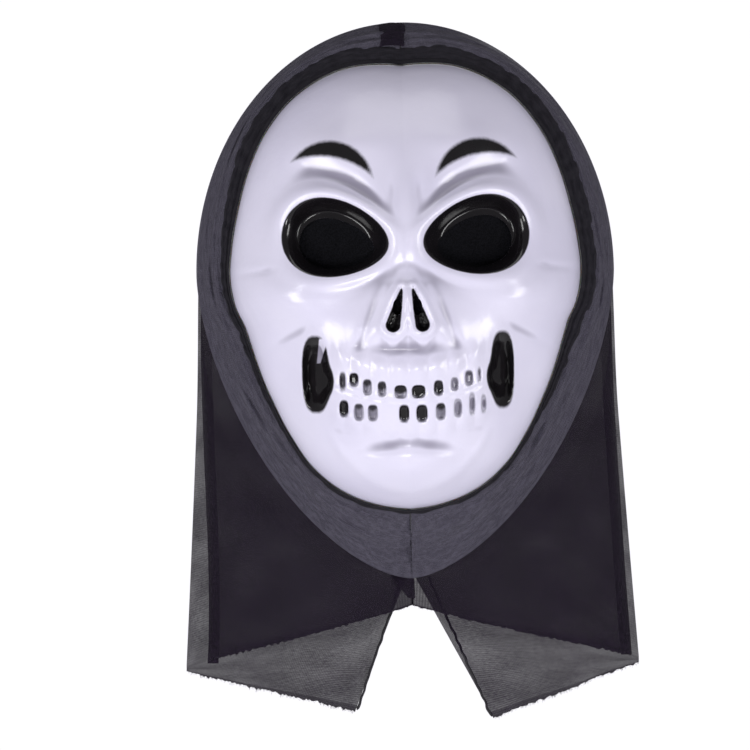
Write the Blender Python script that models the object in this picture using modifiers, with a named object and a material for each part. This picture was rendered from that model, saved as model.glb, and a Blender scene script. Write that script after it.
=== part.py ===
"""Hooded skull mask: a vacuum-formed white face shell with a sheer black hood sewn and glued round its rim.

The frame: metres, +Z up as worn, the face looks along -Y and +X is at the viewer's right.
The origin is the centre of the rim plane: the rim lies at y = 0, the face in front of it, the hood behind.
"""

import math

import bmesh
import bpy
import numpy as np

MM = 0.001
COLLECTION = "hooded_skull_mask"

# Face shell
FACE_WIDTH = 0.1892
FACE_HEIGHT = 0.2393
FACE_DEPTH = 0.0660  # rim plane to the crest of the plain dome, before the features are added
FACE_WALL = 0.0010
SOCKET_DEPTH = 0.0150
EYE_OPENING_LENGTH = 0.0400
EYE_OPENING_HEIGHT = 0.0262
NOSTRIL_HOLE_RADIUS = 0.0024
NOSTRIL_HOLE_STRETCH = 1.8  # the hole is this much taller than wide
SHELL_COLUMNS = 36
SHELL_ROWS = 44

# Gauze patches behind the openings
PATCH_THICKNESS = 0.0006
PATCH_OVERLAP = 0.0035
NOSE_PATCH_SIDE = 0.0062  # beyond the middle of each breathing hole
NOSE_PATCH_HALF_HEIGHT = 0.0098
NOSE_PATCH_SETBACK = 0.0042  # clear of the deepest part of the pits

# Cloth
CLOTH = 0.0008  # a stand-in for cloth of about a quarter of a millimetre
GAP = 0.0004  # between pieces that touch
BINDING_TOP = 0.0095
BINDING_SIDE = 0.0055
BINDING_CHIN = 0.0025
BINDING_THICKNESS = 0.0014
BINDING_BULGE = 0.0010  # how far its middle stands in front of its edges
GLUE_BEAD_STANDOFF = 0.0004
GLUE_BEAD_RADIUS = 0.0011
HOOD_MARGIN_SIDE = 0.0184  # rim to the band's outer edge, at the widest place
HOOD_MARGIN_TOP = 0.0235
BAND_DROP = 0.0382  # chin to the band's lowest point
BAND_SETBACK = 0.0115  # how far the band's outer edge lies behind the rim plane
BAND_INNER_Y = 0.0008
HOOD_DEPTH = 0.1370  # the band's outer edge to the back of the head
SEAM_Y = 0.0550  # side seams, behind the rim plane
SEAM_WIDTH = 0.0016
SEAM_ALLOWANCE = 0.0060
SEAM_TURN = 0.0800  # the height over which the side seam runs back from the band's edge
FRONT_SETBACK = 0.0165  # the front skirt, behind the rim plane
FRONT_OVERLAP = 0.0120  # how far the front skirt reaches up behind the band
SKIRT_FLARE = 0.0125  # how much wider the skirt is at its corners than at the band
SLIT_TOP_Z = -0.1580  # where the slit up the back of the skirt begins
CORNER_Z = -0.2060  # the skirt's outer corners
FRONT_HEM_Z = -0.1730  # the front hem at the centre
FOLD_GAP = 0.0030  # between the skirt and a tail, along the line about which the tail folds
LEFT_SLIT_TOP_X = 0.0045  # distances from the centre
RIGHT_SLIT_TOP_X = 0.0105
LEFT_TIP = (0.0325, -0.2370)  # the tails' lowest points, at the slit
RIGHT_TIP = (0.0450, -0.2420)
SLIT_HEM_RADIUS = 0.0007

# Elastic strap
STRAP_WIDTH = 0.0080
STRAP_THICKNESS = 0.0010
STRAP_Z = 0.0450
STRAP_REACH = 0.0950  # how far behind the rim the relaxed strap reaches
STRAP_TAIL = 0.0110  # length of strap that lies on the shell's inner wall
STAPLE_WIRE = 0.0004
STAPLE_LENGTH = 0.0110
STRAP_TURN_IN = 0.0012  # the strap leaves the shell's wall here, clear of the rim
STRAP_LOOP_IN = 0.0030
STRAP_LOOP_Y = 0.0060

# The rim's right half, in millimetres on the 189.2 x 239.3 mm face, from the crown to the chin
RIM_POINTS = (
    (0, 119.5), (30, 118.3), (57, 104.2), (71.5, 88), (82.6, 66.4), (89.1, 44.8),
    (93.3, 23.2), (94.6, 9), (91.8, -9.2), (86.6, -21), (74, -57.8), (63.4, -79.4),
    (52.6, -95.6), (37, -109), (17.5, -117.2), (0, -119.8),
)
RIM_POINTS_SIZE = (189.2, 239.3)
FACE_SCALE = (FACE_WIDTH / RIM_POINTS_SIZE[0], FACE_HEIGHT / RIM_POINTS_SIZE[1])

# Face features, in millimetres on the same face, for the wearer's half at +X; the other half mirrors it
EYE_CENTRE = (37.4, 26.4)
EYE_HALF = (28.6, 20.6)
EYE_TILT = math.radians(9.0)  # the inner end is the lower one
EGG_TAPER = 0.22  # the outer end is taller than the inner one by this share
SOCKET_WALL = 8.5
OPENING_SHIFT = (-0.8, -3.0)
NOSTRIL_TIP = (2.9, -1.0)
NOSTRIL_FOOT = (7.8, -19.8)
CHEEK_SLOT = (50.0, -45.4)
CHEEK_SLOT_HALF = (6.4, 20.5)


# Curves

def smooth_through(points, at):
    """A smooth curve y(x) through the points, read at each value of at."""
    xs, ys = np.array(points, float).T
    chords = np.diff(ys) / np.diff(xs)
    slopes = np.concatenate([chords[:1], (chords[:-1] + chords[1:]) / 2, chords[-1:]])
    at = np.asarray(at, float)
    i = np.clip(np.searchsorted(xs, at) - 1, 0, len(xs) - 2)
    step = xs[i + 1] - xs[i]
    t = np.clip((at - xs[i]) / step, 0, 1)
    rise = (2 * t**3 - 3 * t**2 + 1) * ys[i] + (3 * t**2 - 2 * t**3) * ys[i + 1]
    return rise + ((t**3 - 2 * t**2 + t) * slopes[i] + (t**3 - t**2) * slopes[i + 1]) * step


def step_up(t):
    """0 below 0, 1 above 1, with a smooth rise between."""
    t = np.clip(t, 0, 1)
    return t * t * (3 - 2 * t)


def rim_radius(angle):
    """The rim's distance from the origin, in millimetres on the standard face; angle 0 is +X."""
    folded = np.arctan2(np.sin(angle), np.abs(np.cos(angle)))
    polar = [(math.atan2(z, x), math.hypot(x, z)) for x, z in RIM_POINTS]
    return smooth_through(polar[::-1], folded)


def rim_point(angle, outward=0.0):
    """A point of the rim plane, outward of the rim by that many metres."""
    radius = rim_radius(angle)
    x = radius * np.cos(angle) * FACE_SCALE[0]
    z = radius * np.sin(angle) * FACE_SCALE[1]
    stretch = 1 + outward / np.hypot(x, z)
    return x * stretch, z * stretch


# The band's outer edge, an ellipse above BAND_MID_Z and a more pointed oval below it
BAND_MID_Z = 0.0080
BAND_HALF_WIDTH = FACE_WIDTH / 2 + HOOD_MARGIN_SIDE
BAND_TOP_Z = FACE_HEIGHT / 2 + HOOD_MARGIN_TOP
BAND_BOTTOM_Z = -(FACE_HEIGHT / 2 + BAND_DROP)
BAND_LOWER_POWER = 1.63


def band_edge(angle):
    """The band's outer edge, in metres; the angle is the oval's own, with 0 at +X and 90 degrees at +Z."""
    c, s = np.cos(angle), np.sin(angle)
    power = np.where(s > 0, 2.0, BAND_LOWER_POWER)
    height = np.where(s > 0, BAND_TOP_Z - BAND_MID_Z, BAND_MID_Z - BAND_BOTTOM_Z)
    x = BAND_HALF_WIDTH * np.sign(c) * np.abs(c) ** (2 / power)
    z = BAND_MID_Z + height * np.sign(s) * np.abs(s) ** (2 / power)
    return x, z


def band_arc_z(x):
    """The height of the band's lower edge at this x."""
    share = np.clip(np.abs(x) / BAND_HALF_WIDTH, 0, 1)
    drop = (1 - share**BAND_LOWER_POWER) ** (1 / BAND_LOWER_POWER)
    return BAND_MID_Z - (BAND_MID_Z - BAND_BOTTOM_Z) * drop


def binding_width(angle):
    """The dark binding is widest over the crown and narrowest under the chin."""
    rise = np.sin(angle)
    upper = BINDING_SIDE + (BINDING_TOP - BINDING_SIDE) * step_up(rise * 1.3)
    lower = BINDING_SIDE + (BINDING_CHIN - BINDING_SIDE) * step_up(-rise * 1.1)
    return np.where(rise > 0, upper, lower)


# The face's relief, in millimetres

def hump(distance, width):
    return np.exp(-((distance / width) ** 2))


def turned(x, z, centre, angle):
    """Coordinates about a centre, on axes turned by the angle."""
    c, s = math.cos(angle), math.sin(angle)
    dx, dz = x - centre[0], z - centre[1]
    return dx * c + dz * s, dz * c - dx * s


def egg(x, z, centre, half, tilt):
    """Roughly the distance outside an egg whose blunt end points to +X."""
    u, v = turned(x, z, centre, tilt)
    u = u / half[0]
    v = v / (half[1] * (1 + EGG_TAPER * np.clip(u, -1, 1)))
    return (np.hypot(u, v) - 1) * math.sqrt(half[0] * half[1])


def drop_shape(x, z, tip, foot, tip_radius, foot_radius):
    """The distance outside a teardrop that grows from its tip to its foot."""
    run = (foot[0] - tip[0], foot[1] - tip[1])
    along = np.clip(((x - tip[0]) * run[0] + (z - tip[1]) * run[1]) / (run[0] ** 2 + run[1] ** 2), 0, 1)
    radius = tip_radius + (foot_radius - tip_radius) * along
    return np.hypot(x - tip[0] - along * run[0], z - tip[1] - along * run[1]) - radius


def oblong(x, z, centre, half, power=2.6):
    u, v = np.abs(x - centre[0]) / half[0], np.abs(z - centre[1]) / half[1]
    return ((u**power + v**power) ** (1 / power) - 1) * min(half)


def features(x, z):
    """What the skull's features add to the plain dome."""
    socket = egg(x, z, EYE_CENTRE, EYE_HALF, EYE_TILT)
    over_eye = step_up((z - EYE_CENTRE[1] + 6) / 22)
    rim_of_socket = (1.6 + 2.2 * over_eye) * hump(socket - 3.5, 4.5)
    brow_valley = -3.0 * hump(socket - 14, 6) * over_eye * step_up((70 - x) / 20)
    brow = 3.0 * hump(np.hypot((x - 38) / 26, (z - 77) / 11), 1)
    temple = -4.0 * hump(np.hypot((x - 84) / 16, (z - 42) / 26), 1)
    bridge = 5.5 * hump(x, 11) * hump(z - 30, 34)
    nose_width = 9 + 0.42 * np.clip(12 - z, 0, 40)
    nose = 9.0 * hump(x / nose_width, 1) * step_up((14 - z) / 20) * step_up((z + 34) / 14)
    cheekbone = 7.5 * hump(np.hypot((x - 68) / 26, (z + 4 - 0.16 * (x - 68)) / 13), 1)
    hollow = -6.5 * hump(np.hypot((x - 66) / 17, (z + 46) / 22), 1)
    jaw = 6.0 * hump(np.hypot(x / 44, (z + 52) / 24), 1)
    chin = 8.5 * hump(np.hypot(x / 30, (z + 98) / 15), 1)
    crease = -2.6 * hump(np.hypot(x / 30, (z + 83 + x * x / 180) / 5), 1)
    upper = rim_of_socket + brow_valley + brow + temple + bridge + nose
    return upper + cheekbone + hollow + jaw + chin + crease


def relief(x, z):
    """The height of the face in front of the rim plane, in millimetres on the standard face."""
    x = np.abs(x)
    share = np.hypot(x, z) / rim_radius(np.arctan2(z, x))
    share = np.clip(share, 0, 1)
    dome = FACE_DEPTH / MM * (1 - share**2.3) ** 0.6
    height = dome + features(x, z) * (1 - share**7)
    height = sink(height, egg(x, z, EYE_CENTRE, EYE_HALF, EYE_TILT), socket_floor(x, z), SOCKET_WALL)
    nostril = drop_shape(x, z, NOSTRIL_TIP, NOSTRIL_FOOT, 0.4, 3.8)
    height = height - 6.5 * step_up(-nostril / 2.4)
    slot = oblong(x, z, CHEEK_SLOT, CHEEK_SLOT_HALF)
    return height - 8.0 * step_up(-slot / 4.5)


def socket_floor(x, z):
    """The flat floor of the eye socket, square to the face's local slope."""
    level = FACE_DEPTH / MM - 6.5 - SOCKET_DEPTH / MM
    return level - 0.24 * (x - EYE_CENTRE[0]) - 0.10 * (z - EYE_CENTRE[1])


def sink(height, outside, floor, wall):
    """Drops the height to the floor inside an outline, over a wall of that width."""
    return height + (floor - height) * step_up(-outside / wall)


# Building

def material(name, colour, roughness, metallic=0.0, alpha=1.0):
    made = bpy.data.materials.new(name)
    made.use_nodes = True
    shader = made.node_tree.nodes["Principled BSDF"]
    shader.inputs["Base Color"].default_value = (*colour, 1.0)
    shader.inputs["Roughness"].default_value = roughness
    shader.inputs["Metallic"].default_value = metallic
    shader.inputs["Alpha"].default_value = alpha
    made.diffuse_color = (*colour, alpha)
    return made


def collection(name):
    made = bpy.data.collections.new(name)
    bpy.context.scene.collection.children.link(made)
    return made


def add_object(name, mesh, look, group):
    mesh.materials.append(look)
    mesh.shade_smooth()
    mesh.set_sharp_from_angle(angle=math.radians(40))
    thing = bpy.data.objects.new(name, mesh)
    group.objects.link(thing)
    return thing


def surface(name, grid, closed=False):
    """An open sheet through a grid of points, rows by columns; closed joins its last column to its first."""
    rows, columns = grid.shape[:2]
    span = columns if closed else columns - 1
    faces = []
    for i in range(rows - 1):
        for j in range(span):
            k = (j + 1) % columns
            faces.append((i * columns + j, i * columns + k, (i + 1) * columns + k, (i + 1) * columns + j))
    mesh = bpy.data.meshes.new(name)
    mesh.from_pydata(grid.reshape(-1, 3).tolist(), [], faces)
    mesh.validate()
    return mesh


def cloth(name, grid, look, group, closed=False, thickness=CLOTH):
    """A sheet with its thickness centred on the grid."""
    thing = add_object(name, surface(name, grid, closed), look, group)
    solid = thing.modifiers.new("thickness", "SOLIDIFY")
    solid.thickness = thickness
    solid.offset = 0
    solid.use_even_offset = False
    return thing


def tube(name, points, radius, look, group, closed=False):
    line = bpy.data.curves.new(name, "CURVE")
    line.dimensions = "3D"
    line.bevel_depth = radius
    line.bevel_resolution = 1
    line.use_fill_caps = not closed
    spline = line.splines.new("POLY")
    spline.points.add(len(points) - 1)
    for point, place in zip(spline.points, points):
        point.co = (*place, 1)
    spline.use_cyclic_u = closed
    thing = bpy.data.objects.new(name, line)
    line.materials.append(look)
    group.objects.link(thing)
    return thing


def face_point(x, z, behind=0.0):
    """The point of the face at x, z, in metres, moved back from the surface."""
    height = relief(x / FACE_SCALE[0], z / FACE_SCALE[1]) * MM
    return np.stack(np.broadcast_arrays(x, behind - height, z), axis=-1)


def disc_grid(columns, rows):
    """A square grid spread over the unit disc, so that its border follows the rim."""
    u, v = np.meshgrid(np.linspace(-1, 1, columns + 1), np.linspace(-1, 1, rows + 1))
    return u * np.sqrt(1 - v * v / 2), v * np.sqrt(1 - u * u / 2)


def prism(name, outline, front, back, group):
    """A cutter: an outline in x and z, extruded along Y."""
    shape = bmesh.new()
    ring = [shape.verts.new((x, back, z)) for x, z in outline]
    base = shape.faces.new(ring)
    moved = bmesh.ops.extrude_face_region(shape, geom=[base])["geom"]
    verts = [v for v in moved if isinstance(v, bmesh.types.BMVert)]
    bmesh.ops.translate(shape, verts=verts, vec=(0, front - back, 0))
    bmesh.ops.recalc_face_normals(shape, faces=shape.faces)
    mesh = bpy.data.meshes.new(name)
    shape.to_mesh(mesh)
    shape.free()
    thing = bpy.data.objects.new(name, mesh)
    thing.hide_render = True
    thing.display_type = "WIRE"
    group.objects.link(thing)
    return thing


def egg_outline(side, centre, half, margin=0.0, count=40):
    """Points round an egg in metres, with its blunt end away from the nose."""
    turn = np.linspace(0, 2 * math.pi, count, endpoint=False)
    u = np.cos(turn)
    v = np.sin(turn) * (1 + EGG_TAPER * u)
    u, v = u * (half[0] + margin), v * (half[1] + margin)
    c, s = math.cos(EYE_TILT), math.sin(EYE_TILT)
    x = centre[0] + u * c - v * s
    z = centre[1] + v * c + u * s
    return list(zip(side * x, z))


def opening_centre():
    x = (EYE_CENTRE[0] + OPENING_SHIFT[0]) * FACE_SCALE[0]
    z = (EYE_CENTRE[1] + OPENING_SHIFT[1]) * FACE_SCALE[1]
    return x, z


def nostril_hole(side):
    """The breathing hole is in the upper half of the nostril's pit."""
    x = side * (NOSTRIL_TIP[0] + NOSTRIL_FOOT[0]) * 0.5 * FACE_SCALE[0]
    z = (NOSTRIL_TIP[1] * 0.5 + NOSTRIL_FOOT[1] * 0.5) * FACE_SCALE[1]
    return x, z


def face_shell(look, group, cutters):
    u, v = disc_grid(SHELL_COLUMNS, SHELL_ROWS)
    angle = np.arctan2(v, u)
    rim_x, rim_z = rim_point(angle)
    share = np.hypot(u, v)
    grid = face_point(rim_x * share, rim_z * share)
    shell = add_object("face_shell", surface("face_shell", grid), look, group)
    wall = shell.modifiers.new("wall", "SOLIDIFY")
    wall.thickness = FACE_WALL
    wall.offset = -1
    half = (EYE_OPENING_LENGTH / 2, EYE_OPENING_HEIGHT / 2)
    front = -(FACE_DEPTH + 0.02)
    shapes = []
    for side, where in ((-1, "left"), (1, "right")):
        shapes.append((f"cut_eye_{where}", egg_outline(side, opening_centre(), half)))
        x, z = nostril_hole(side)
        turn = np.linspace(0, 2 * math.pi, 16, endpoint=False)
        ring_x = x + NOSTRIL_HOLE_RADIUS * np.cos(turn)
        ring_z = z + NOSTRIL_HOLE_STRETCH * NOSTRIL_HOLE_RADIUS * np.sin(turn)
        shapes.append((f"cut_nostril_{where}", list(zip(ring_x, ring_z))))
    for name, outline in shapes:
        cutter = prism(name, outline, front, 0.0, cutters)
        cut = shell.modifiers.new(name, "BOOLEAN")
        cut.operation = "DIFFERENCE"
        cut.object = cutter
        cut.solver = "EXACT"
    return shell


def flat_patch(name, outline, look, group):
    """A flat patch of gauze, through a ring of points that lie in one plane."""
    mesh = bpy.data.meshes.new(name)
    mesh.from_pydata([tuple(point) for point in outline], [], [tuple(range(len(outline)))])
    thing = add_object(name, mesh, look, group)
    solid = thing.modifiers.new("thickness", "SOLIDIFY")
    solid.thickness = PATCH_THICKNESS
    solid.offset = 0
    return thing


def eye_mesh(name, side, look, group):
    """Gauze flat behind the socket's floor, over the opening and a margin for the glue."""
    half = (EYE_OPENING_LENGTH / 2, EYE_OPENING_HEIGHT / 2)
    x, z = np.array(egg_outline(side, opening_centre(), half, PATCH_OVERLAP, 32)).T
    floor = socket_floor(np.abs(x) / FACE_SCALE[0], z / FACE_SCALE[1]) * MM
    behind = FACE_WALL * 1.1 + GAP + PATCH_THICKNESS / 2
    return flat_patch(name, np.stack([x, behind - floor, z], axis=-1), look, group)


def nose_mesh(look, group):
    """One patch of gauze across both breathing holes, behind the deepest of the nostrils' pits."""
    turn = np.linspace(0, 2 * math.pi, 28, endpoint=False)
    reach, middle = nostril_hole(1)
    x = (reach + NOSE_PATCH_SIDE) * np.cos(turn)
    z = middle + NOSE_PATCH_HALF_HEIGHT * np.sin(turn)
    deepest = face_point(*nostril_hole(1))[1]
    y = np.full_like(x, deepest + FACE_WALL + NOSE_PATCH_SETBACK)
    return flat_patch("nose_mesh", np.stack([x, y, z], axis=-1), look, group)


# Round the rim

def ring_angles(count):
    return np.linspace(0, 2 * math.pi, count, endpoint=False) - math.pi / 2


def rim_binding(look, group):
    """The folded black edge of the hood, glued round the outside of the rim."""
    angle = ring_angles(60)
    grid = []
    for share in (0.0, 0.5, 1.0):
        outward = FACE_WALL * 0.5 + GAP + share * (binding_width(angle) - FACE_WALL * 0.5 - GAP)
        x, z = rim_point(angle, outward)
        y = GAP - BINDING_BULGE * math.sin(math.pi * share) + np.zeros_like(x)
        grid.append(np.stack([x, y, z], axis=-1))
    return cloth("rim_binding", np.array(grid), look, group, closed=True, thickness=BINDING_THICKNESS)


def glue_bead(look, group):
    """The bead of hot-melt glue inside the rim, between the shell's edge and the binding."""
    angle = ring_angles(48)
    x, z = rim_point(angle, -FACE_WALL * 0.5)
    y = np.full_like(x, FACE_WALL + GAP + GLUE_BEAD_RADIUS + GLUE_BEAD_STANDOFF)
    line = np.stack([x, y, z], axis=-1).tolist()
    return tube("glue_bead", line, GLUE_BEAD_RADIUS, look, group, closed=True)


def facing_band(name, side, look, group):
    """Half of the grey band that frames the face, from the binding out to the silhouette."""
    edge = SEAM_WIDTH / 2 + GAP
    turn = np.linspace(-math.pi / 2, math.pi / 2, 31)
    outer_x, outer_z = band_edge(turn)
    inner_x, inner_z = rim_point(np.arctan2(outer_z, np.maximum(outer_x, 1e-9)), 0.0)
    angle = np.arctan2(inner_z, inner_x)
    inner_x, inner_z = rim_point(angle, binding_width(angle) + GAP * 2)
    rows = []
    for share in np.linspace(0, 1, 4):
        x = inner_x + (outer_x - inner_x) * share
        z = inner_z + (outer_z - inner_z) * share
        y = BAND_INNER_Y + (BAND_SETBACK - BAND_INNER_Y) * share**1.6
        rows.append(np.stack([side * np.maximum(x, edge), np.full_like(x, y), z], axis=-1))
    return cloth(name, np.array(rows), look, group)


# The hood and its skirt: slices at each height, widest at the side seams

def fall(z, top, depth):
    """0 above the height top, 1 below top - depth, with a smooth change between."""
    return step_up((top - z) / depth)


def half_width(z):
    upper = np.clip((z - BAND_MID_Z) / (BAND_TOP_Z - BAND_MID_Z), 0, 1)
    lower = np.clip((BAND_MID_Z - z) / (BAND_MID_Z - CORNER_Z), 0, None)
    widest = BAND_HALF_WIDTH - CLOTH
    return widest * np.sqrt(1 - upper**2) + SKIRT_FLARE * lower**1.15


def side_y(z):
    """How far back the slice is widest: at the band's edge above, at the side seams below."""
    edge = BAND_SETBACK + CLOTH + GAP
    return edge + (SEAM_Y - edge) * fall(z, BAND_MID_Z, SEAM_TURN)


def back_y(z):
    """How far back the slice reaches."""
    widest = 0.020
    upper = np.clip((z - widest) / (BAND_TOP_Z - widest), 0, 1)
    reach = HOOD_DEPTH * np.sqrt(1 - upper**2)
    nape = ((-0.300, 0.78), (-0.240, 0.76), (-0.140, 0.71), (-0.090, 0.75), (-0.040, 0.89))
    above = ((widest, 1.0), (widest + 0.001, 1.0))
    return BAND_SETBACK + reach * smooth_through(nape + above, np.minimum(z, widest))


def front_y(z):
    edge = BAND_SETBACK + CLOTH + GAP
    return edge + (FRONT_SETBACK - edge) * fall(z, BAND_MID_Z, SEAM_TURN)


def back_power(z):
    """Slices are round behind the head and nearly flat from seam to centre where the skirt hangs free."""
    return 2.3 - 1.25 * fall(z, -0.030, 0.120)


def front_power(z):
    return 2.6 - 1.0 * fall(z, -0.090, 0.120)


def back_point(x, z):
    """The point of the back sheet at x and z."""
    share = np.clip(np.abs(x) / half_width(z), 0, 1)
    power = back_power(z)
    near = side_y(z) + seam_clearance()
    y = near + (back_y(z) - near) * (1 - share**power) ** (1 / power)
    return np.stack(np.broadcast_arrays(x, y, z), axis=-1)


def fold_z(x, slit_x):
    """The line from the slit's top to the skirt's corner, about which a tail folds."""
    corner_x = half_width(CORNER_Z)
    return SLIT_TOP_Z + (CORNER_Z - SLIT_TOP_Z) * (np.abs(x) - slit_x) / (corner_x - slit_x)


def hood_panel(name, side, slit_x, look, group):
    """Half of the hood, from the crown down the back of the head to the line where the tail folds."""
    edge = SEAM_WIDTH / 2 + GAP
    turn = np.linspace(0, 1, 12)
    crown = BAND_MID_Z + (BAND_TOP_Z - BAND_MID_Z) * np.sin(np.radians(np.linspace(87.5, 6, 9)))
    rows = []
    for z in crown:
        rows.append(hood_row(np.full_like(turn, z), turn, edge, side))
    for share in np.linspace(0, 1, 14):
        z = np.full_like(turn, BAND_MID_Z)
        for _ in range(6):
            x = np.abs(hood_row(z, turn, edge, side)[:, 0])
            z = BAND_MID_Z + (fold_z(x, slit_x) - BAND_MID_Z) * share
        rows.append(hood_row(z, turn, edge, side))
    return cloth(name, np.array(rows), look, group)


def seam_clearance():
    """From a side seam's middle to the edge of the cloth beside it, with room for the seam's slant."""
    return SEAM_WIDTH * 0.75 + GAP * 2


def hood_row(z, turn, edge, side):
    """Points along a slice, from the side to the back centre, evenly spread over the slice's bend."""
    width = half_width(z)
    power = back_power(z)
    last = np.arccos(np.clip(edge / width, 0, 1) ** (power / 2))
    x = width * np.cos(turn * last) ** (2 / power)
    away = seam_clearance() * fall(z, BAND_MID_Z, 0.008)
    near = side_y(z) + away
    y = near + (back_y(z) - near) * np.sin(turn * last) ** (2 / power)
    return np.stack([side * x, y, z], axis=-1)


def front_hem_z(x):
    share = np.clip(np.abs(x) / half_width(CORNER_Z), 0, 1)
    return FRONT_HEM_Z + (CORNER_Z - FRONT_HEM_Z) * share**0.95


def front_skirt(name, side, look, group):
    """Half of the skirt's front, from behind the band's lower edge to the front hem."""
    edge = SEAM_WIDTH / 2 + GAP
    turn = np.linspace(0, 1, 11)
    rows = []
    for share in np.linspace(0, 1, 13):
        z = np.full_like(turn, -0.080)
        for _ in range(8):
            width = half_width(z)
            power = front_power(z)
            first = np.arcsin(np.clip(edge / width, 0, 1) ** (power / 2))
            bend = first + turn * (math.pi / 2 - first)
            x = width * np.sin(bend) ** (2 / power)
            top = np.minimum(band_arc_z(x) + FRONT_OVERLAP, BAND_MID_Z - FRONT_OVERLAP)
            z = top + (front_hem_z(x) - top) * share
        near = side_y(z) - seam_clearance()
        y = near - (near - front_y(z)) * np.cos(bend) ** (2 / power)
        rows.append(np.stack([side * x, y, z], axis=-1))
    return cloth(name, np.array(rows), look, group)


def skirt_tail(name, side, slit_x, tip, look, group):
    """The single layer below the fold line: a triangle between the corner, the slit's top and the tip."""
    corner_x = half_width(CORNER_Z)
    rows = []
    for share in np.linspace(0, 1, 5):
        along = np.linspace(0.05, 1, 9)
        top_x = corner_x + (slit_x - corner_x) * along
        top_z = fold_z(top_x, slit_x) - FOLD_GAP
        hem_x = corner_x + (tip[0] - corner_x) * along
        hem_z = CORNER_Z - FOLD_GAP + (tip[1] - CORNER_Z + FOLD_GAP) * along
        x = top_x + (hem_x - top_x) * share
        z = top_z + (hem_z - top_z) * share
        points = back_point(x, z)
        points[:, 0] *= side
        rows.append(points)
    return cloth(name, np.array(rows), look, group)


def slit_hem(name, side, slit_x, tip, look, group):
    """The rolled hem along a tail's edge at the slit."""
    share = np.linspace(0.02, 0.99, 12)
    beyond = CLOTH / 2 + GAP * 2 + SLIT_HEM_RADIUS
    top_z = SLIT_TOP_Z - FOLD_GAP
    x = slit_x + (tip[0] - slit_x) * share - beyond
    z = top_z + (tip[1] - top_z) * share
    points = back_point(x, z)
    points[:, 0] *= side
    return tube(name, points.tolist(), SLIT_HEM_RADIUS, look, group)


# Seams

def fin(name, outer, inner, look, group):
    """A seam's allowance: a narrow double fold that stands inward from the cloth."""
    return cloth(name, np.array([outer, inner]), look, group, thickness=SEAM_WIDTH)


def crown_seam(look, group):
    """The seam from the band's top over the crown and down the back, to the top of the slit."""
    rise = np.radians(np.linspace(90, 8, 10))
    crown_z = BAND_MID_Z + (BAND_TOP_Z - BAND_MID_Z) * np.sin(rise)
    below = np.linspace(BAND_MID_Z, SLIT_TOP_Z + 0.002, 14)
    z = np.concatenate([crown_z, below])
    y = back_y(z)
    outer = np.stack([np.zeros_like(z), y + CLOTH / 2, z], axis=-1)
    middle = np.array([0, BAND_SETBACK, 0.0])
    inward = middle - outer
    inward[:, 2] = np.where(outer[:, 2] > 0, inward[:, 2], 0)
    inward[0] = (0, 0, -1)
    inward /= np.linalg.norm(inward, axis=1)[:, None]
    return fin("crown_seam", outer, outer + SEAM_ALLOWANCE * inward, look, group)


def chin_seam(look, group):
    """The seam under the chin, from the band's lower edge to the front hem."""
    z = np.linspace(BAND_BOTTOM_Z + 0.010, FRONT_HEM_Z, 6)
    y = front_y(z) - CLOTH / 2
    outer = np.stack([np.zeros_like(z), y, z], axis=-1)
    return fin("chin_seam", outer, outer + (0, SEAM_ALLOWANCE, 0), look, group)


def side_seam(name, side, look, group):
    z = np.linspace(BAND_MID_Z - 0.016, CORNER_Z, 18)
    x, y = half_width(z), side_y(z)
    outer = np.stack([side * x, y, z], axis=-1)
    return fin(name, outer, outer - (side * SEAM_ALLOWANCE, 0, 0), look, group)


# The elastic strap

def shell_inside_x(y):
    """How far out the shell's inner wall is, along the strap's upper edge and at this y."""
    x = FACE_WIDTH / 2
    while face_point(x, STRAP_Z + STRAP_WIDTH / 2)[1] > y - FACE_WALL and x > 0:
        x -= 0.0002
    return x - FACE_WALL * 1.4


def strap_route():
    """Half of the strap's route in plan: up the shell's inner wall, past the rim and round to the back."""
    reach = STRAP_THICKNESS / 2 + GAP
    wall = [(shell_inside_x(y) - reach, y) for y in (-STRAP_TAIL, -STRAP_TAIL / 2)]
    bend = np.radians(np.linspace(6, 90, 12))
    start_x, start_y = wall[-1][0] - STRAP_LOOP_IN, STRAP_LOOP_Y
    depth = STRAP_REACH - start_y
    round_back = [(start_x * math.cos(a) ** 0.75, start_y + depth * math.sin(a)) for a in bend]
    return wall + [(wall[-1][0] - STRAP_TURN_IN, 0.0)] + round_back


def elastic_strap(look, group):
    half = strap_route()
    half[-1] = (0.0, half[-1][1])
    route = [(-x, y) for x, y in half[:-1]] + [(0.0, half[-1][1])] + [(x, y) for x, y in half[-2::-1]]
    edges = (STRAP_Z - STRAP_WIDTH / 2, STRAP_Z + STRAP_WIDTH / 2)
    grid = np.array([[(x, y, z) for x, y in route] for z in edges])
    return cloth("elastic_strap", grid, look, group, thickness=STRAP_THICKNESS)


def staples(name, side, look, group):
    """The staple that holds the strap's end: a wire crown across the strap, with its legs bent over."""
    x, y = strap_route()[0]
    inner = x - STRAP_THICKNESS / 2 - GAP - STAPLE_WIRE
    half = STAPLE_LENGTH / 2
    leg = STRAP_THICKNESS + STAPLE_WIRE
    y = y + STRAP_TAIL / 4
    points = [
        (side * (inner + leg), y, STRAP_Z - half), (side * inner, y, STRAP_Z - half),
        (side * inner, y, STRAP_Z + half), (side * (inner + leg), y, STRAP_Z + half),
    ]
    return tube(name, points, STAPLE_WIRE, look, group)


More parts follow.
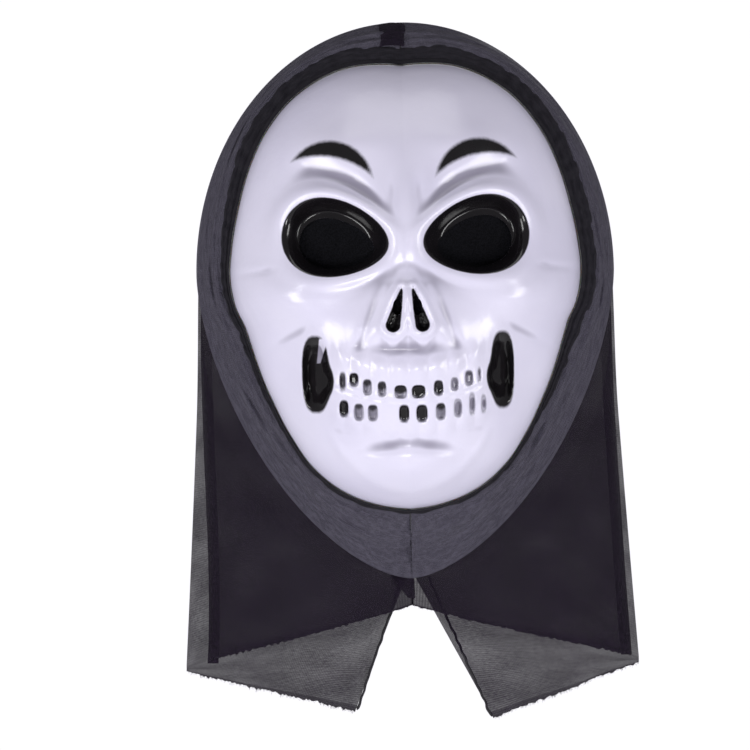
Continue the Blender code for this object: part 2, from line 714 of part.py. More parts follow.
def main():
    for thing in list(bpy.data.objects):
        bpy.data.objects.remove(thing)
    group = collection(COLLECTION)
    cutters = collection("cutters")
    cutters.hide_render = True

    white = material("gloss_white_shell", (0.86, 0.85, 0.90), 0.16)
    gauze = material("black_gauze", (0.010, 0.010, 0.013), 0.85)
    black = material("black_binding", (0.012, 0.011, 0.015), 0.70)
    grey = material("charcoal_voile", (0.065, 0.060, 0.085), 0.80, alpha=0.92)
    sheer = material("sheer_black_voile", (0.014, 0.013, 0.018), 0.80, alpha=0.88)
    thread = material("black_thread", (0.020, 0.019, 0.025), 0.75)
    glue = material("hot_melt_glue", (0.72, 0.66, 0.52), 0.30)
    webbing = material("black_elastic", (0.020, 0.020, 0.024), 0.78)
    steel = material("staple_steel", (0.62, 0.62, 0.64), 0.32, metallic=1.0)

    face_shell(white, group, cutters)
    rim_binding(black, group)
    glue_bead(glue, group)
    nose_mesh(gauze, group)
    crown_seam(thread, group)
    chin_seam(thread, group)
    elastic_strap(webbing, group)
    for side, where, slit_x, tip in (
        (-1, "left", LEFT_SLIT_TOP_X, LEFT_TIP),
        (1, "right", RIGHT_SLIT_TOP_X, RIGHT_TIP),
    ):
        eye_mesh(f"eye_mesh_{where}", side, gauze, group)
        facing_band(f"facing_band_{where}", side, grey, group)
        hood_panel(f"hood_panel_{where}", side, slit_x, sheer, group)
        front_skirt(f"front_skirt_{where}", side, sheer, group)
        skirt_tail(f"tail_{where}", side, slit_x, tip, sheer, group)
        slit_hem(f"slit_hem_{where}", side, slit_x, tip, thread, group)
        side_seam(f"side_seam_{where}", side, thread, group)
        staples(f"staple_{where}", side, steel, group)


main()
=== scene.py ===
"""The looks of the hooded skull mask: a glossy painted shell in a sheer black hood.

The shapes repeat the design's own curves, in metres: +Z up as worn, the face looks along -Y,
and the origin is the centre of the rim plane. Face features are in millimetres on the standard face.
"""

import math

import bpy
import numpy as np
from mathutils import Matrix, Vector


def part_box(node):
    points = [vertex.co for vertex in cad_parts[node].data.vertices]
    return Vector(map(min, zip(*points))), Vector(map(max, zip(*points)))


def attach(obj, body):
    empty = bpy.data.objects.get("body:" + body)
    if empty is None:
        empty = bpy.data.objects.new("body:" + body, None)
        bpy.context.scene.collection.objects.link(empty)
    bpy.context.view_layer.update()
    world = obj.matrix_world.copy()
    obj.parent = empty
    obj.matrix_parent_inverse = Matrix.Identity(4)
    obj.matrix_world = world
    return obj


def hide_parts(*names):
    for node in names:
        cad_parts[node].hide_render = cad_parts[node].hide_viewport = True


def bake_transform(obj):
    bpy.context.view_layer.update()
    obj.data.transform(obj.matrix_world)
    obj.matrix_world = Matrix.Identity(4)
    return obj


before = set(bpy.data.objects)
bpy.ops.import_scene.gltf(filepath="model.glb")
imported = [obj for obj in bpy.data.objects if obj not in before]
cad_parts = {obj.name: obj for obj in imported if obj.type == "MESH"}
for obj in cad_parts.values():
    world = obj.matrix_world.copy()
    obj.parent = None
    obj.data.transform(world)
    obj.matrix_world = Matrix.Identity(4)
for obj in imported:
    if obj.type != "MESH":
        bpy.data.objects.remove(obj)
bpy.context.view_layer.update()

MM = 0.001

# The design's sizes, as in the CAD model
FACE_WIDTH = 0.1892
FACE_HEIGHT = 0.2393
FACE_DEPTH = 0.0660
FACE_WALL = 0.0010
SOCKET_DEPTH = 0.0150
OPENING_HALF = (0.0200, 0.0131)
NOSTRIL_HOLE = (0.0024, 0.0043)
PATCH_OVERLAP = 0.0035
CLOTH = 0.0008
GAP = 0.0004
BINDING_TOP = 0.0095
BINDING_SIDE = 0.0055
BINDING_CHIN = 0.0025
BAND_SETBACK = 0.0115
BAND_INNER_Y = 0.0008
HOOD_DEPTH = 0.1370
SEAM_Y = 0.0550
SEAM_ALLOWANCE = 0.0060
SEAM_TURN = 0.0800
FRONT_SETBACK = 0.0165
FRONT_OVERLAP = 0.0120
SKIRT_FLARE = 0.0125
SLIT_TOP_Z = -0.1580
FOLD_GAP = 0.0030
CORNER_Z = -0.2060
FRONT_HEM_Z = -0.1730
SLIT_TOP_X = {"left": 0.0045, "right": 0.0105}
TIP = {"left": (0.0325, -0.2370), "right": (0.0450, -0.2420)}
SIDES = {"left": -1, "right": 1}
STRAP_WIDTH = 0.0080
GAUZE = 0.0004
BAND_CLOTH = 0.0004
BINDING_CLOTH = 0.0007
SHEER_CLOTH = 0.0003
SEAM_CLOTH = 0.0008
CROWN_TAB = (-0.0112, 0.0022, 0.1305, 0.1432)  # left, right, low, high
CHIN_FOLD_Z = (-0.124, -0.157, -0.169)  # its top, where it is widest, and its foot
STRAP_THICKNESS = 0.0010
RIM_POINTS = (
    (0, 119.5), (30, 118.3), (57, 104.2), (71.5, 88), (82.6, 66.4), (89.1, 44.8),
    (93.3, 23.2), (94.6, 9), (91.8, -9.2), (86.6, -21), (74, -57.8), (63.4, -79.4),
    (52.6, -95.6), (37, -109), (17.5, -117.2), (0, -119.8),
)
BAND_MID_Z = 0.0080
HOOD_MARGIN_SIDE = 0.0184
HOOD_MARGIN_TOP = 0.0235
HOOD_MARGIN_CHIN = 0.0382
BAND_HALF_WIDTH = FACE_WIDTH / 2 + HOOD_MARGIN_SIDE
BAND_TOP_Z = FACE_HEIGHT / 2 + HOOD_MARGIN_TOP
BAND_BOTTOM_Z = -(FACE_HEIGHT / 2 + HOOD_MARGIN_CHIN)
BAND_LOWER_POWER = 1.63

# Face features, in millimetres
EYE_CENTRE = (37.4, 26.4)
EYE_HALF = (28.6, 20.6)
EYE_TILT = math.radians(9.0)
EGG_TAPER = 0.22
SOCKET_WALL = 8.5
OPENING_SHIFT = (-0.8, -3.0)
NOSTRIL_TIP = (2.9, -1.0)
NOSTRIL_FOOT = (7.8, -19.8)
NOSTRIL_RADII = (0.4, 3.8)  # at its tip and at its foot
NOSTRIL_DEPTH = 6.5
NOSTRIL_WALL = 2.4
SLOT_DEPTH = 8.0
SLOT_WALL = 3.6
TOOTH_GAP_DEPTH = 2.3
TOOTH_GAP_WALL = 1.3
TOOTH_BOW = 190  # the rows rise towards the cheeks by x squared over this
TOOTH_SEAM_Z = -60.5
# Each row of crowns: level, pitch, height, half height, and where its first crown stands
TOOTH_ROWS = ((-42.5, 10.3, 2.3, 5.5, 0.5), (TOOTH_SEAM_Z, 9.9, 1.1, 3.2, 0.0), (-76.0, 9.9, 1.7, 5.0, 0.0))
SOCKET_SET_IN = 6.5
SOCKET_LEAN = (0.24, 0.10)
CHEEK_SLOTS = ((49.4, -45.4, 7.2, 20.5), (50.2, -44.8, 6.3, 20.5))  # left and right: middle, half sizes
BROW_CENTRE = (38.0, 63.9)
BROW_TILT = math.radians(12.6)
BROW_CHORD = 43.0
BROW_RISES = (14.3, 5.8)
# Each round swelling or hollow: height, middle x, middle z, half width, half height, slope
ROUND_FORMS = (
    (3.0, 38, 77, 26, 11, 0),  # over the brow
    (-4.0, 84, 42, 16, 26, 0),  # temple
    (7.5, 68, -4, 26, 13, 0.16),  # cheekbone
    (-6.5, 66, -46, 17, 22, 0),  # hollow of the cheek
    (6.0, 0, -52, 44, 24, 0),  # jaw
    (8.5, 0, -98, 30, 15, 0),  # chin
    (-1.3, 7, 50, 3.2, 9, 0),  # between the brows
    (-1.1, 14, -85.4, 12, 3.6, -0.1),  # under the lower lip, near the middle
    (-0.9, 36, -75.68, 14, 3.4, 0.12),  # and farther out
)
# Each gap between the teeth: x, z, half width, half height, how much of it is painted, how densely
TOOTH_GAPS = (
    # the upper row, from the left
    (-35.0, -49.2, 1.6, 4.9, 1.0, 0.9), (-29.0, -48.4, 2.4, 3.7, 0.9, 1.0),
    (-22.0, -52.6, 2.4, 4.4, 0.55, 0.97), (-14.3, -53.6, 2.3, 4.2, 0.7, 0.95),
    (-4.5, -55.2, 3.3, 3.6, 0.75, 1.0), (5.0, -55.3, 3.6, 3.6, 1.0, 1.0), (15.6, -53.6, 2.5, 4.2, 1.0, 0.97),
    (24.2, -51.8, 2.1, 3.6, 0.3, 0.8), (31.9, -48.8, 2.2, 4.1, 0.5, 0.8), (37.4, -47.2, 0.9, 3.8, 0.6, 0.8),
    # the lower row
    (-34.6, -63.8, 2.4, 4.6, 1.0, 1.0), (-26.8, -65.8, 2.6, 4.6, 0.45, 0.95),
    (-19.4, -66.2, 2.7, 4.4, 0.5, 0.97), (-2.8, -66.9, 2.7, 4.8, 1.0, 1.0), (6.6, -67.0, 3.0, 4.8, 1.0, 1.0),
    (16.6, -66.2, 2.6, 4.6, 0.55, 1.0), (25.8, -64.6, 2.2, 5.0, 0.1, 0.75),
    (33.4, -62.6, 1.6, 5.9, 0.1, 0.75), (39.6, -62.8, 1.4, 4.8, 0.2, 0.8),
)

FINE = 2  # how many times finer than their base counts the grids are


# Curves shared with the design

def smooth_through(points, at):
    """A smooth curve y(x) through the points, read at each value of at."""
    xs, ys = np.array(points, float).T
    chords = np.diff(ys) / np.diff(xs)
    slopes = np.concatenate([chords[:1], (chords[:-1] + chords[1:]) / 2, chords[-1:]])
    at = np.asarray(at, float)
    i = np.clip(np.searchsorted(xs, at) - 1, 0, len(xs) - 2)
    step = xs[i + 1] - xs[i]
    t = np.clip((at - xs[i]) / step, 0, 1)
    rise = (2 * t**3 - 3 * t**2 + 1) * ys[i] + (3 * t**2 - 2 * t**3) * ys[i + 1]
    return rise + ((t**3 - 2 * t**2 + t) * slopes[i] + (t**3 - t**2) * slopes[i + 1]) * step


def step_up(t):
    """0 below 0, 1 above 1, with a smooth rise between."""
    t = np.clip(t, 0, 1)
    return t * t * (3 - 2 * t)


def rim_radius(angle):
    folded = np.arctan2(np.sin(angle), np.abs(np.cos(angle)))
    polar = [(math.atan2(z, x), math.hypot(x, z)) for x, z in RIM_POINTS]
    return smooth_through(polar[::-1], folded)


def rim_point(angle, outward=0.0):
    radius = rim_radius(angle) * MM
    x, z = radius * np.cos(angle), radius * np.sin(angle)
    stretch = 1 + outward / np.hypot(x, z)
    return x * stretch, z * stretch


def band_edge(angle):
    c, s = np.cos(angle), np.sin(angle)
    power = np.where(s > 0, 2.0, BAND_LOWER_POWER)
    height = np.where(s > 0, BAND_TOP_Z - BAND_MID_Z, BAND_MID_Z - BAND_BOTTOM_Z)
    x = BAND_HALF_WIDTH * np.sign(c) * np.abs(c) ** (2 / power)
    z = BAND_MID_Z + height * np.sign(s) * np.abs(s) ** (2 / power)
    return x, z


def band_arc_z(x):
    share = np.clip(np.abs(x) / BAND_HALF_WIDTH, 0, 1)
    return BAND_MID_Z - (BAND_MID_Z - BAND_BOTTOM_Z) * (1 - share**BAND_LOWER_POWER) ** (1 / BAND_LOWER_POWER)


def binding_width(angle):
    rise = np.sin(angle)
    upper = BINDING_SIDE + (BINDING_TOP - BINDING_SIDE) * step_up(rise * 1.3)
    lower = BINDING_SIDE + (BINDING_CHIN - BINDING_SIDE) * step_up(-rise * 1.1)
    return np.where(rise > 0, upper, lower)


# The face's relief, in millimetres

def hump(distance, width):
    return np.exp(-((distance / width) ** 2))


def turned(x, z, centre, angle):
    c, s = math.cos(angle), math.sin(angle)
    dx, dz = x - centre[0], z - centre[1]
    return dx * c + dz * s, dz * c - dx * s


def egg(x, z, centre, half, tilt):
    """Roughly the distance outside an egg whose blunt end points to +X."""
    u, v = turned(x, z, centre, tilt)
    u = u / half[0]
    v = v / (half[1] * (1 + EGG_TAPER * np.clip(u, -1, 1)))
    return (np.hypot(u, v) - 1) * math.sqrt(half[0] * half[1])


def drop_shape(x, z, tip, foot, tip_radius, foot_radius):
    """The distance outside a teardrop that grows from its tip to its foot."""
    run = (foot[0] - tip[0], foot[1] - tip[1])
    along = np.clip(((x - tip[0]) * run[0] + (z - tip[1]) * run[1]) / (run[0] ** 2 + run[1] ** 2), 0, 1)
    radius = tip_radius + (foot_radius - tip_radius) * along**0.75
    return np.hypot(x - tip[0] - along * run[0], z - tip[1] - along * run[1]) - radius


def oblong(x, z, centre, half, power=2.6):
    u, v = np.abs(x - centre[0]) / half[0], np.abs(z - centre[1]) / half[1]
    return ((u**power + v**power) ** (1 / power) - 1) * min(half)


def crescent(x, z):
    """The distance outside the brow: the space between two arcs on one chord."""
    u, v = turned(x, z, BROW_CENTRE, BROW_TILT)
    inside = []
    for rise in BROW_RISES:
        radius = (BROW_CHORD**2 / 4 + rise**2) / (2 * rise)
        inside.append(np.hypot(u, v - (rise - radius)) - radius)
    return np.maximum(inside[0], -inside[1])


def cheek_slot(signed_x, z):
    """The slot between jaw and cheek, with a lobe toward the teeth."""
    x = np.abs(signed_x)
    sides = []
    for middle_x, middle_z, half_x, half_z in CHEEK_SLOTS:
        slot = oblong(x, z, (middle_x, middle_z), (half_x, half_z), 2.7)
        lobe = oblong(x, z, (middle_x - half_x + 2.0, middle_z - 3.5), (4.4, 8.0), 2.0)
        sides.append(-1.2 * np.logaddexp(-slot / 1.2, -lobe / 1.2))
    return np.where(signed_x < 0, sides[0], sides[1])


def round_form(x, z, form):
    height, middle_x, middle_z, half_x, half_z, slope = form
    dx = x - middle_x
    return height * hump(np.hypot(dx / half_x, (z - middle_z - slope * dx) / half_z), 1)


def tooth_row(x, z, level, pitch, height, half_height, phase):
    """Rounded tooth crowns along a row, bowed up towards the cheeks."""
    bowed = level + x * x / TOOTH_BOW
    crown = 0.5 + 0.5 * np.cos(2 * np.pi * (x / pitch + phase))
    fade = step_up((46 - np.abs(x)) / 10)
    return height * fade * hump(z - bowed, half_height) * (0.45 + 0.55 * crown**0.6)


def features(x, z):
    """What the skull's features add to the plain dome."""
    socket = egg(x, z, EYE_CENTRE, EYE_HALF, EYE_TILT)
    over_eye = step_up((z - EYE_CENTRE[1] + 6) / 22)
    rim_of_socket = (1.6 + 2.2 * over_eye) * hump(socket - 3.5, 4.5)
    brow_valley = -3.0 * hump(socket - 14, 6) * over_eye * step_up((70 - x) / 20) * step_up((x - 8) / 20)
    bridge = 5.5 * hump(x, 11) * hump(z - 30, 34)
    nose_width = 9 + 0.42 * np.clip(12 - z, 0, 40)
    nose = 9.0 * hump(x, nose_width) * step_up((14 - z) / 20) * step_up((z + 34) / 14)
    crease = -2.6 * hump(np.hypot(x / 30, (z + 83 + x * x / 180) / 5), 1)
    rounded = sum(round_form(x, z, form) for form in ROUND_FORMS)
    return rim_of_socket + brow_valley + bridge + nose + crease + rounded


def details(x, z, signed_x):
    """The finer moulding: nose ridge, teeth, creases and cheek folds."""
    nose_edge = drop_shape(x, z, NOSTRIL_TIP, NOSTRIL_FOOT, *NOSTRIL_RADII)
    ridge = 1.9 * hump(nose_edge - 2.6, 1.6) * step_up((16 - z) / 14)
    teeth = sum(tooth_row(signed_x, z, *row) for row in TOOTH_ROWS)
    seam = -0.9 * hump(z - TOOTH_SEAM_Z - x * x / TOOTH_BOW, 1.1) * step_up((44 - x) / 6)
    cheek_fold = -1.1 * hump((z + 24 + 0.5 * (x - 60)), 3.4) * step_up((x - 48) / 10) * step_up((86 - x) / 10)
    bone_crease = -1.6 * hump((z - 9 + 0.12 * (x - 85)), 2.2) * step_up((x - 66) / 12)
    lip = 1.8 * hump(z + 110 - x * x / 60, 4.5) * step_up((46 - x) / 10)
    nasal_fold = -1.2 * hump((x - 15 - 0.35 * np.clip(-z, 0, 40)), 3.2) * hump(z + 22, 16)
    return ridge + teeth + seam + cheek_fold + bone_crease + lip + nasal_fold


def socket_floor(x, z):
    level = FACE_DEPTH / MM - SOCKET_SET_IN - SOCKET_DEPTH / MM
    return level - SOCKET_LEAN[0] * (x - EYE_CENTRE[0]) - SOCKET_LEAN[1] * (z - EYE_CENTRE[1])


def tooth_gap(x, z, gap):
    return oblong(x, z, gap[:2], gap[2:4], 3.2)


def relief(signed_x, z):
    """The height of the face in front of the rim plane, in millimetres."""
    x = np.abs(signed_x)
    share = np.clip(np.hypot(x, z) / rim_radius(np.arctan2(z, x)), 0, 1)
    dome = FACE_DEPTH / MM * (1 - share**2.3) ** 0.6
    height = dome + (features(x, z) + details(x, z, signed_x)) * (1 - share**7)
    floor = socket_floor(x, z)
    outside = egg(x, z, EYE_CENTRE, EYE_HALF, EYE_TILT)
    height = height + (floor - height) * step_up(-outside / SOCKET_WALL)
    nostril = drop_shape(x, z, NOSTRIL_TIP, NOSTRIL_FOOT, *NOSTRIL_RADII)
    height = height - NOSTRIL_DEPTH * step_up(-nostril / NOSTRIL_WALL)
    height = height - SLOT_DEPTH * step_up(-cheek_slot(signed_x, z) / SLOT_WALL)
    for gap in TOOTH_GAPS:
        height = height - TOOTH_GAP_DEPTH * step_up(0.15 - tooth_gap(signed_x, z, gap) / TOOTH_GAP_WALL)
    return height


# The hood: slices at each height, widest at the side seams

def fall(z, top, depth):
    return step_up((top - z) / depth)


def half_width(z):
    upper = np.clip((z - BAND_MID_Z) / (BAND_TOP_Z - BAND_MID_Z), 0, 1)
    lower = np.clip((BAND_MID_Z - z) / (BAND_MID_Z - CORNER_Z), 0, None)
    return (BAND_HALF_WIDTH - CLOTH) * np.sqrt(1 - upper**2) + SKIRT_FLARE * lower**1.15


def side_y(z):
    edge = BAND_SETBACK + CLOTH + GAP
    return edge + (SEAM_Y - edge) * fall(z, BAND_MID_Z, SEAM_TURN)


def back_y(z):
    widest = 0.020
    upper = np.clip((z - widest) / (BAND_TOP_Z - widest), 0, 1)
    reach = HOOD_DEPTH * np.sqrt(1 - upper**2)
    nape = ((-0.300, 0.78), (-0.240, 0.76), (-0.140, 0.71), (-0.090, 0.75), (-0.040, 0.89))
    above = ((widest, 1.0), (widest + 0.001, 1.0))
    return BAND_SETBACK + reach * smooth_through(nape + above, np.minimum(z, widest))


def front_y(z):
    edge = BAND_SETBACK + CLOTH + GAP
    return edge + (FRONT_SETBACK - edge) * fall(z, BAND_MID_Z, SEAM_TURN)


def back_power(z):
    return 2.3 - 1.25 * fall(z, -0.030, 0.120)


def front_power(z):
    return 2.6 - 1.0 * fall(z, -0.090, 0.120)


def selvedge(z, side):
    """How far inside the skirt's outer edge the side seam runs: wider down the left side."""
    low = step_up((BAND_MID_Z - 0.03 - z) / 0.18)
    return np.where(side < 0, 0.0020 + 0.0100 * low, 0.0020 + 0.0022 * low) * fall(z, BAND_MID_Z, 0.02)


def back_depth(x, z, side):
    """How far back the back sheet is at x and z; it lies flat beyond the side seam."""
    share = np.clip(np.abs(x) / (half_width(z) - selvedge(z, side)), 0, 1)
    power = back_power(z)
    near = side_y(z) + 0.0008 * fall(z, BAND_MID_Z, 0.008)
    return near + (back_y(z) - near) * (1 - share**power) ** (1 / power)


def back_row(z, turn, edge, side):
    """Points along a slice, from the side to the back centre."""
    width = half_width(z)
    power = back_power(z)
    last = np.arccos(np.clip(edge / width, 0, 1) ** (power / 2))
    x = width * np.cos(turn * last) ** (2 / power)
    return np.stack([side * x, back_depth(x, z, side), z], axis=-1)


def back_point(x, z):
    side = np.where(np.asarray(x) < 0, -1, 1)
    return np.stack(np.broadcast_arrays(x, back_depth(x, z, side), z), axis=-1)


def fold_z(x, slit_x):
    corner_x = half_width(CORNER_Z)
    return SLIT_TOP_Z + (CORNER_Z - SLIT_TOP_Z) * (np.abs(x) - slit_x) / (corner_x - slit_x)


def front_hem_z(x):
    share = np.clip(np.abs(x) / half_width(CORNER_Z), 0, 1)
    return FRONT_HEM_Z + (CORNER_Z - FRONT_HEM_Z) * share**0.95


# Small deterministic unevenness

RIPPLE_WAVES = 7


def ripple(a, b, seed, wavelength):
    """A smooth uneven field of about unit height over two coordinates in metres."""
    random = np.random.default_rng(seed)
    total = 0.0
    for _ in range(RIPPLE_WAVES):
        way = random.uniform(0, 2 * math.pi)
        size = 2 * math.pi / (wavelength * random.uniform(0.6, 1.7))
        phase = random.uniform(0, 2 * math.pi)
        total = total + np.sin((a * math.cos(way) + b * math.sin(way)) * size + phase)
    return total / math.sqrt(RIPPLE_WAVES / 2)


# Making objects

def add(mesh, name, look, body="root", nodes=(), thickness=0):
    mesh.materials.clear()
    mesh.materials.append(look)
    thing = bpy.data.objects.new(name, mesh)
    bpy.context.scene.collection.objects.link(thing)
    if nodes:
        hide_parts(*nodes)
    if thickness:
        thicken(thing, thickness)
    if body:
        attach(thing, body)
    return thing


def sheet_mesh(name, grid, closed=False, flat=None):
    """A sheet through a grid of points, with a weave map in metres."""
    rows, columns = grid.shape[:2]
    span = columns if closed else columns - 1
    i, j = np.meshgrid(np.arange(rows - 1), np.arange(span), indexing="ij")
    k = (j + 1) % columns
    here, below = i * columns, (i + 1) * columns
    faces = np.stack([here + j, here + k, below + k, below + j], axis=-1)
    mesh = bpy.data.meshes.new(name)
    mesh.from_pydata(grid.reshape(-1, 3).tolist(), [], faces.reshape(-1, 4).tolist())
    if flat is not None:
        layer = mesh.uv_layers.new(name="weave")
        corner_u = np.stack([j, j + 1, j + 1, j], axis=-1).reshape(-1)
        corner_v = np.stack([i, i, i + 1, i + 1], axis=-1).reshape(-1)
        uv = np.stack([corner_u * flat[0] / span, corner_v * flat[1] / (rows - 1)], axis=-1)
        layer.data.foreach_set("uv", uv.reshape(-1).astype(np.float32))
    mesh.shade_smooth()
    return mesh


def thicken(thing, thickness, offset=0.0):
    solid = thing.modifiers.new("thickness", "SOLIDIFY")
    solid.thickness = thickness
    solid.offset = offset
    solid.use_even_offset = False


def set_attribute(mesh, name, values):
    layer = mesh.attributes.new(name, "FLOAT", "POINT")
    layer.data.foreach_set("value", np.asarray(values, np.float32).reshape(-1))


def cloth_piece(name, grid, look, nodes, thickness,
                flat=None, fold=None, closed=False, body="root"):
    """A thin sheet through a grid of points; fold says how far its cloth lies double."""
    mesh = sheet_mesh(name, grid, closed, flat)
    if fold is not None:
        set_attribute(mesh, "fold", np.broadcast_to(fold, grid.shape[:2]))
    return add(mesh, name, look, body, nodes, thickness)


def tube_mesh(name, lines, radius, sides=8, lumps=None, closed=False):
    """Round tubes along lines of points, all in one mesh."""
    points, faces = [], []
    for line in lines:
        line = np.asarray(line, float)
        count = len(line)
        after = np.roll(line, -1, axis=0) if closed else np.vstack([line[1:], line[-1:]])
        before = np.roll(line, 1, axis=0) if closed else np.vstack([line[:1], line[:-1]])
        along = after - before
        along /= np.maximum(np.linalg.norm(along, axis=1), 1e-9)[:, None]
        helper = np.where(np.abs(along[:, 1:2]) < 0.9, [[0.0, 1.0, 0.0]], [[0.0, 0.0, 1.0]])
        across = np.cross(along, helper)
        across /= np.linalg.norm(across, axis=1)[:, None]
        third = np.cross(along, across)
        size = radius * (np.ones(count) if lumps is None else lumps)
        if not closed:
            size[[0, -1]] *= 0.35
        base = len(points)
        turn = np.linspace(0, 2 * math.pi, sides, endpoint=False)
        ring = across[:, None] * np.cos(turn)[None, :, None] + third[:, None] * np.sin(turn)[None, :, None]
        points.extend((line[:, None] + ring * size[:, None, None]).reshape(-1, 3).tolist())
        for i in range(count if closed else count - 1):
            here, ahead = base + i * sides, base + (i + 1) % count * sides
            for s in range(sides):
                t = (s + 1) % sides
                faces.append((here + s, ahead + s, ahead + t, here + t))
        if not closed:
            faces.append(tuple(base + s for s in range(sides)))
            faces.append(tuple(base + (count - 1) * sides + s for s in reversed(range(sides))))
    mesh = bpy.data.meshes.new(name)
    mesh.from_pydata(points, [], faces)
    mesh.shade_smooth()
    return mesh


# Materials

class Look:
    """A material and short ways to add nodes to it."""

    def __init__(self, name, colour, roughness, **values):
        self.material = bpy.data.materials.new(name)
        self.material.use_nodes = True
        self.tree = self.material.node_tree
        self.shader = self.tree.nodes["Principled BSDF"]
        self.set("Base Color", (*colour, 1))
        self.set("Roughness", roughness)
        for key, value in values.items():
            self.set(key.replace("_", " "), value)

    def set(self, socket, value):
        self.shader.inputs[socket].default_value = value

    def feed(self, socket, source):
        self.tree.links.new(source, self.shader.inputs[socket])

    def node(self, kind, output=0, settings=None, **inputs):
        """A node's output; i0 and i1 name its first and second input."""
        made = self.tree.nodes.new(kind)
        for key, value in (settings or {}).items():
            setattr(made, key, value)
        for key, value in inputs.items():
            socket = made.inputs[int(key[1:]) if key in ("i0", "i1") else key.replace("_", " ")]
            if isinstance(value, bpy.types.NodeSocket):
                self.tree.links.new(value, socket)
            else:
                socket.default_value = value
        return made.outputs[output]

    def math(self, operation, a, b=0.0, clamp=False):
        return self.node("ShaderNodeMath", settings={"operation": operation, "use_clamp": clamp}, i0=a, i1=b)

    def remap(self, value, low, high, to_low=0.0, to_high=1.0):
        return self.node("ShaderNodeMapRange", settings={"interpolation_type": "SMOOTHSTEP"}, Value=value,
                         From_Min=low, From_Max=high, To_Min=to_low, To_Max=to_high)

    def mix(self, share, a, b):
        made = self.tree.nodes.new("ShaderNodeMix")
        made.data_type = "RGBA"
        sockets = {"Factor": made.inputs[0], "A": made.inputs[6], "B": made.inputs[7]}
        for key, value in (("Factor", share), ("A", a), ("B", b)):
            if isinstance(value, bpy.types.NodeSocket):
                self.tree.links.new(value, sockets[key])
            else:
                sockets[key].default_value = value if key == "Factor" else (*value, 1)
        return made.outputs[2]

    def attribute(self, name):
        return self.node("ShaderNodeAttribute", 2, {"attribute_name": name})

    def place(self):
        return self.node("ShaderNodeTexCoord", 3)

    def weave(self):
        return self.node("ShaderNodeUVMap", settings={"uv_map": "weave"})

    def noise(self, scale, detail=3.0, vector=None, roughness=0.55):
        return self.node("ShaderNodeTexNoise", 0, Vector=vector or self.place(), Scale=scale, Detail=detail,
                         Roughness=roughness)

    def bands(self, vector, way, scale, **inputs):
        settings = {"wave_type": "BANDS", "bands_direction": way}
        return self.node("ShaderNodeTexWave", 1, settings, Vector=vector, Scale=scale, **inputs)

    def bump(self, height, distance, strength=1.0, normal=None):
        inputs = {"Height": height, "Distance": distance, "Strength": strength}
        if normal is not None:
            inputs["Normal"] = normal
        return self.node("ShaderNodeBump", **inputs)


def shell_look():
    """Glossy white sheet with sprayed gloss black, whose edge is slightly uneven, and with shade painted into
    its hollows.
    """
    look = Look("painted_shell", (0.75, 0.73, 0.84), 0.2, Specular_IOR_Level=0.5)
    edge_noise = look.math("SUBTRACT", look.noise(420, 4), 0.5)
    feather = look.attribute("feather")
    unevenness = look.math("MULTIPLY", edge_noise, look.math("MULTIPLY", feather, 0.7))
    distance = look.math("ADD", look.attribute("paint"), unevenness)
    share = look.math("DIVIDE", distance, feather)
    cover = look.math("MULTIPLY", look.remap(share, 1.0, -1.0), look.attribute("ink"))
    speck = look.remap(look.noise(1600, 2), 0.70, 0.76)
    halo = look.math("MULTIPLY", look.remap(look.attribute("paint"), 3.2, 0.0), speck)
    halo = look.math("MULTIPLY", halo, 0.35)
    cover = look.math("MAXIMUM", cover, look.math("MULTIPLY", halo, look.attribute("ink")), clamp=True)
    tint = look.remap(look.noise(14, 3), 0.35, 0.7)
    white = look.mix(tint, (0.78, 0.75, 0.91), (0.73, 0.70, 0.87))
    # painted shade: the white darkens towards lavender grey where the face lies in a hollow
    white = look.mix(look.remap(look.attribute("painted_valley_shade"), 0.1, 2.1), white, (0.33, 0.31, 0.40))
    grime = look.remap(look.noise(260, 5), 0.62, 0.80, 0.0, 0.10)
    white = look.mix(grime, white, (0.62, 0.60, 0.68))
    paint = look.mix(look.noise(90, 3), (0.0045, 0.004, 0.005), (0.012, 0.010, 0.012))
    look.feed("Base Color", look.mix(cover, white, paint))
    rough = look.remap(look.noise(55, 4), 0.3, 0.7, 0.17, 0.27)
    matte = look.remap(feather, 0.6, 0.9, -0.07, 0.03)
    look.feed("Roughness", look.math("ADD", rough, look.math("MULTIPLY", cover, matte)))
    peel = look.bump(look.noise(240, 2), 0.00016, 0.5)
    waves = look.bump(look.noise(26, 2), 0.0022, 0.35, peel)
    look.feed("Normal", waves)
    return look.material


THREADS_PER_METRE = 1500


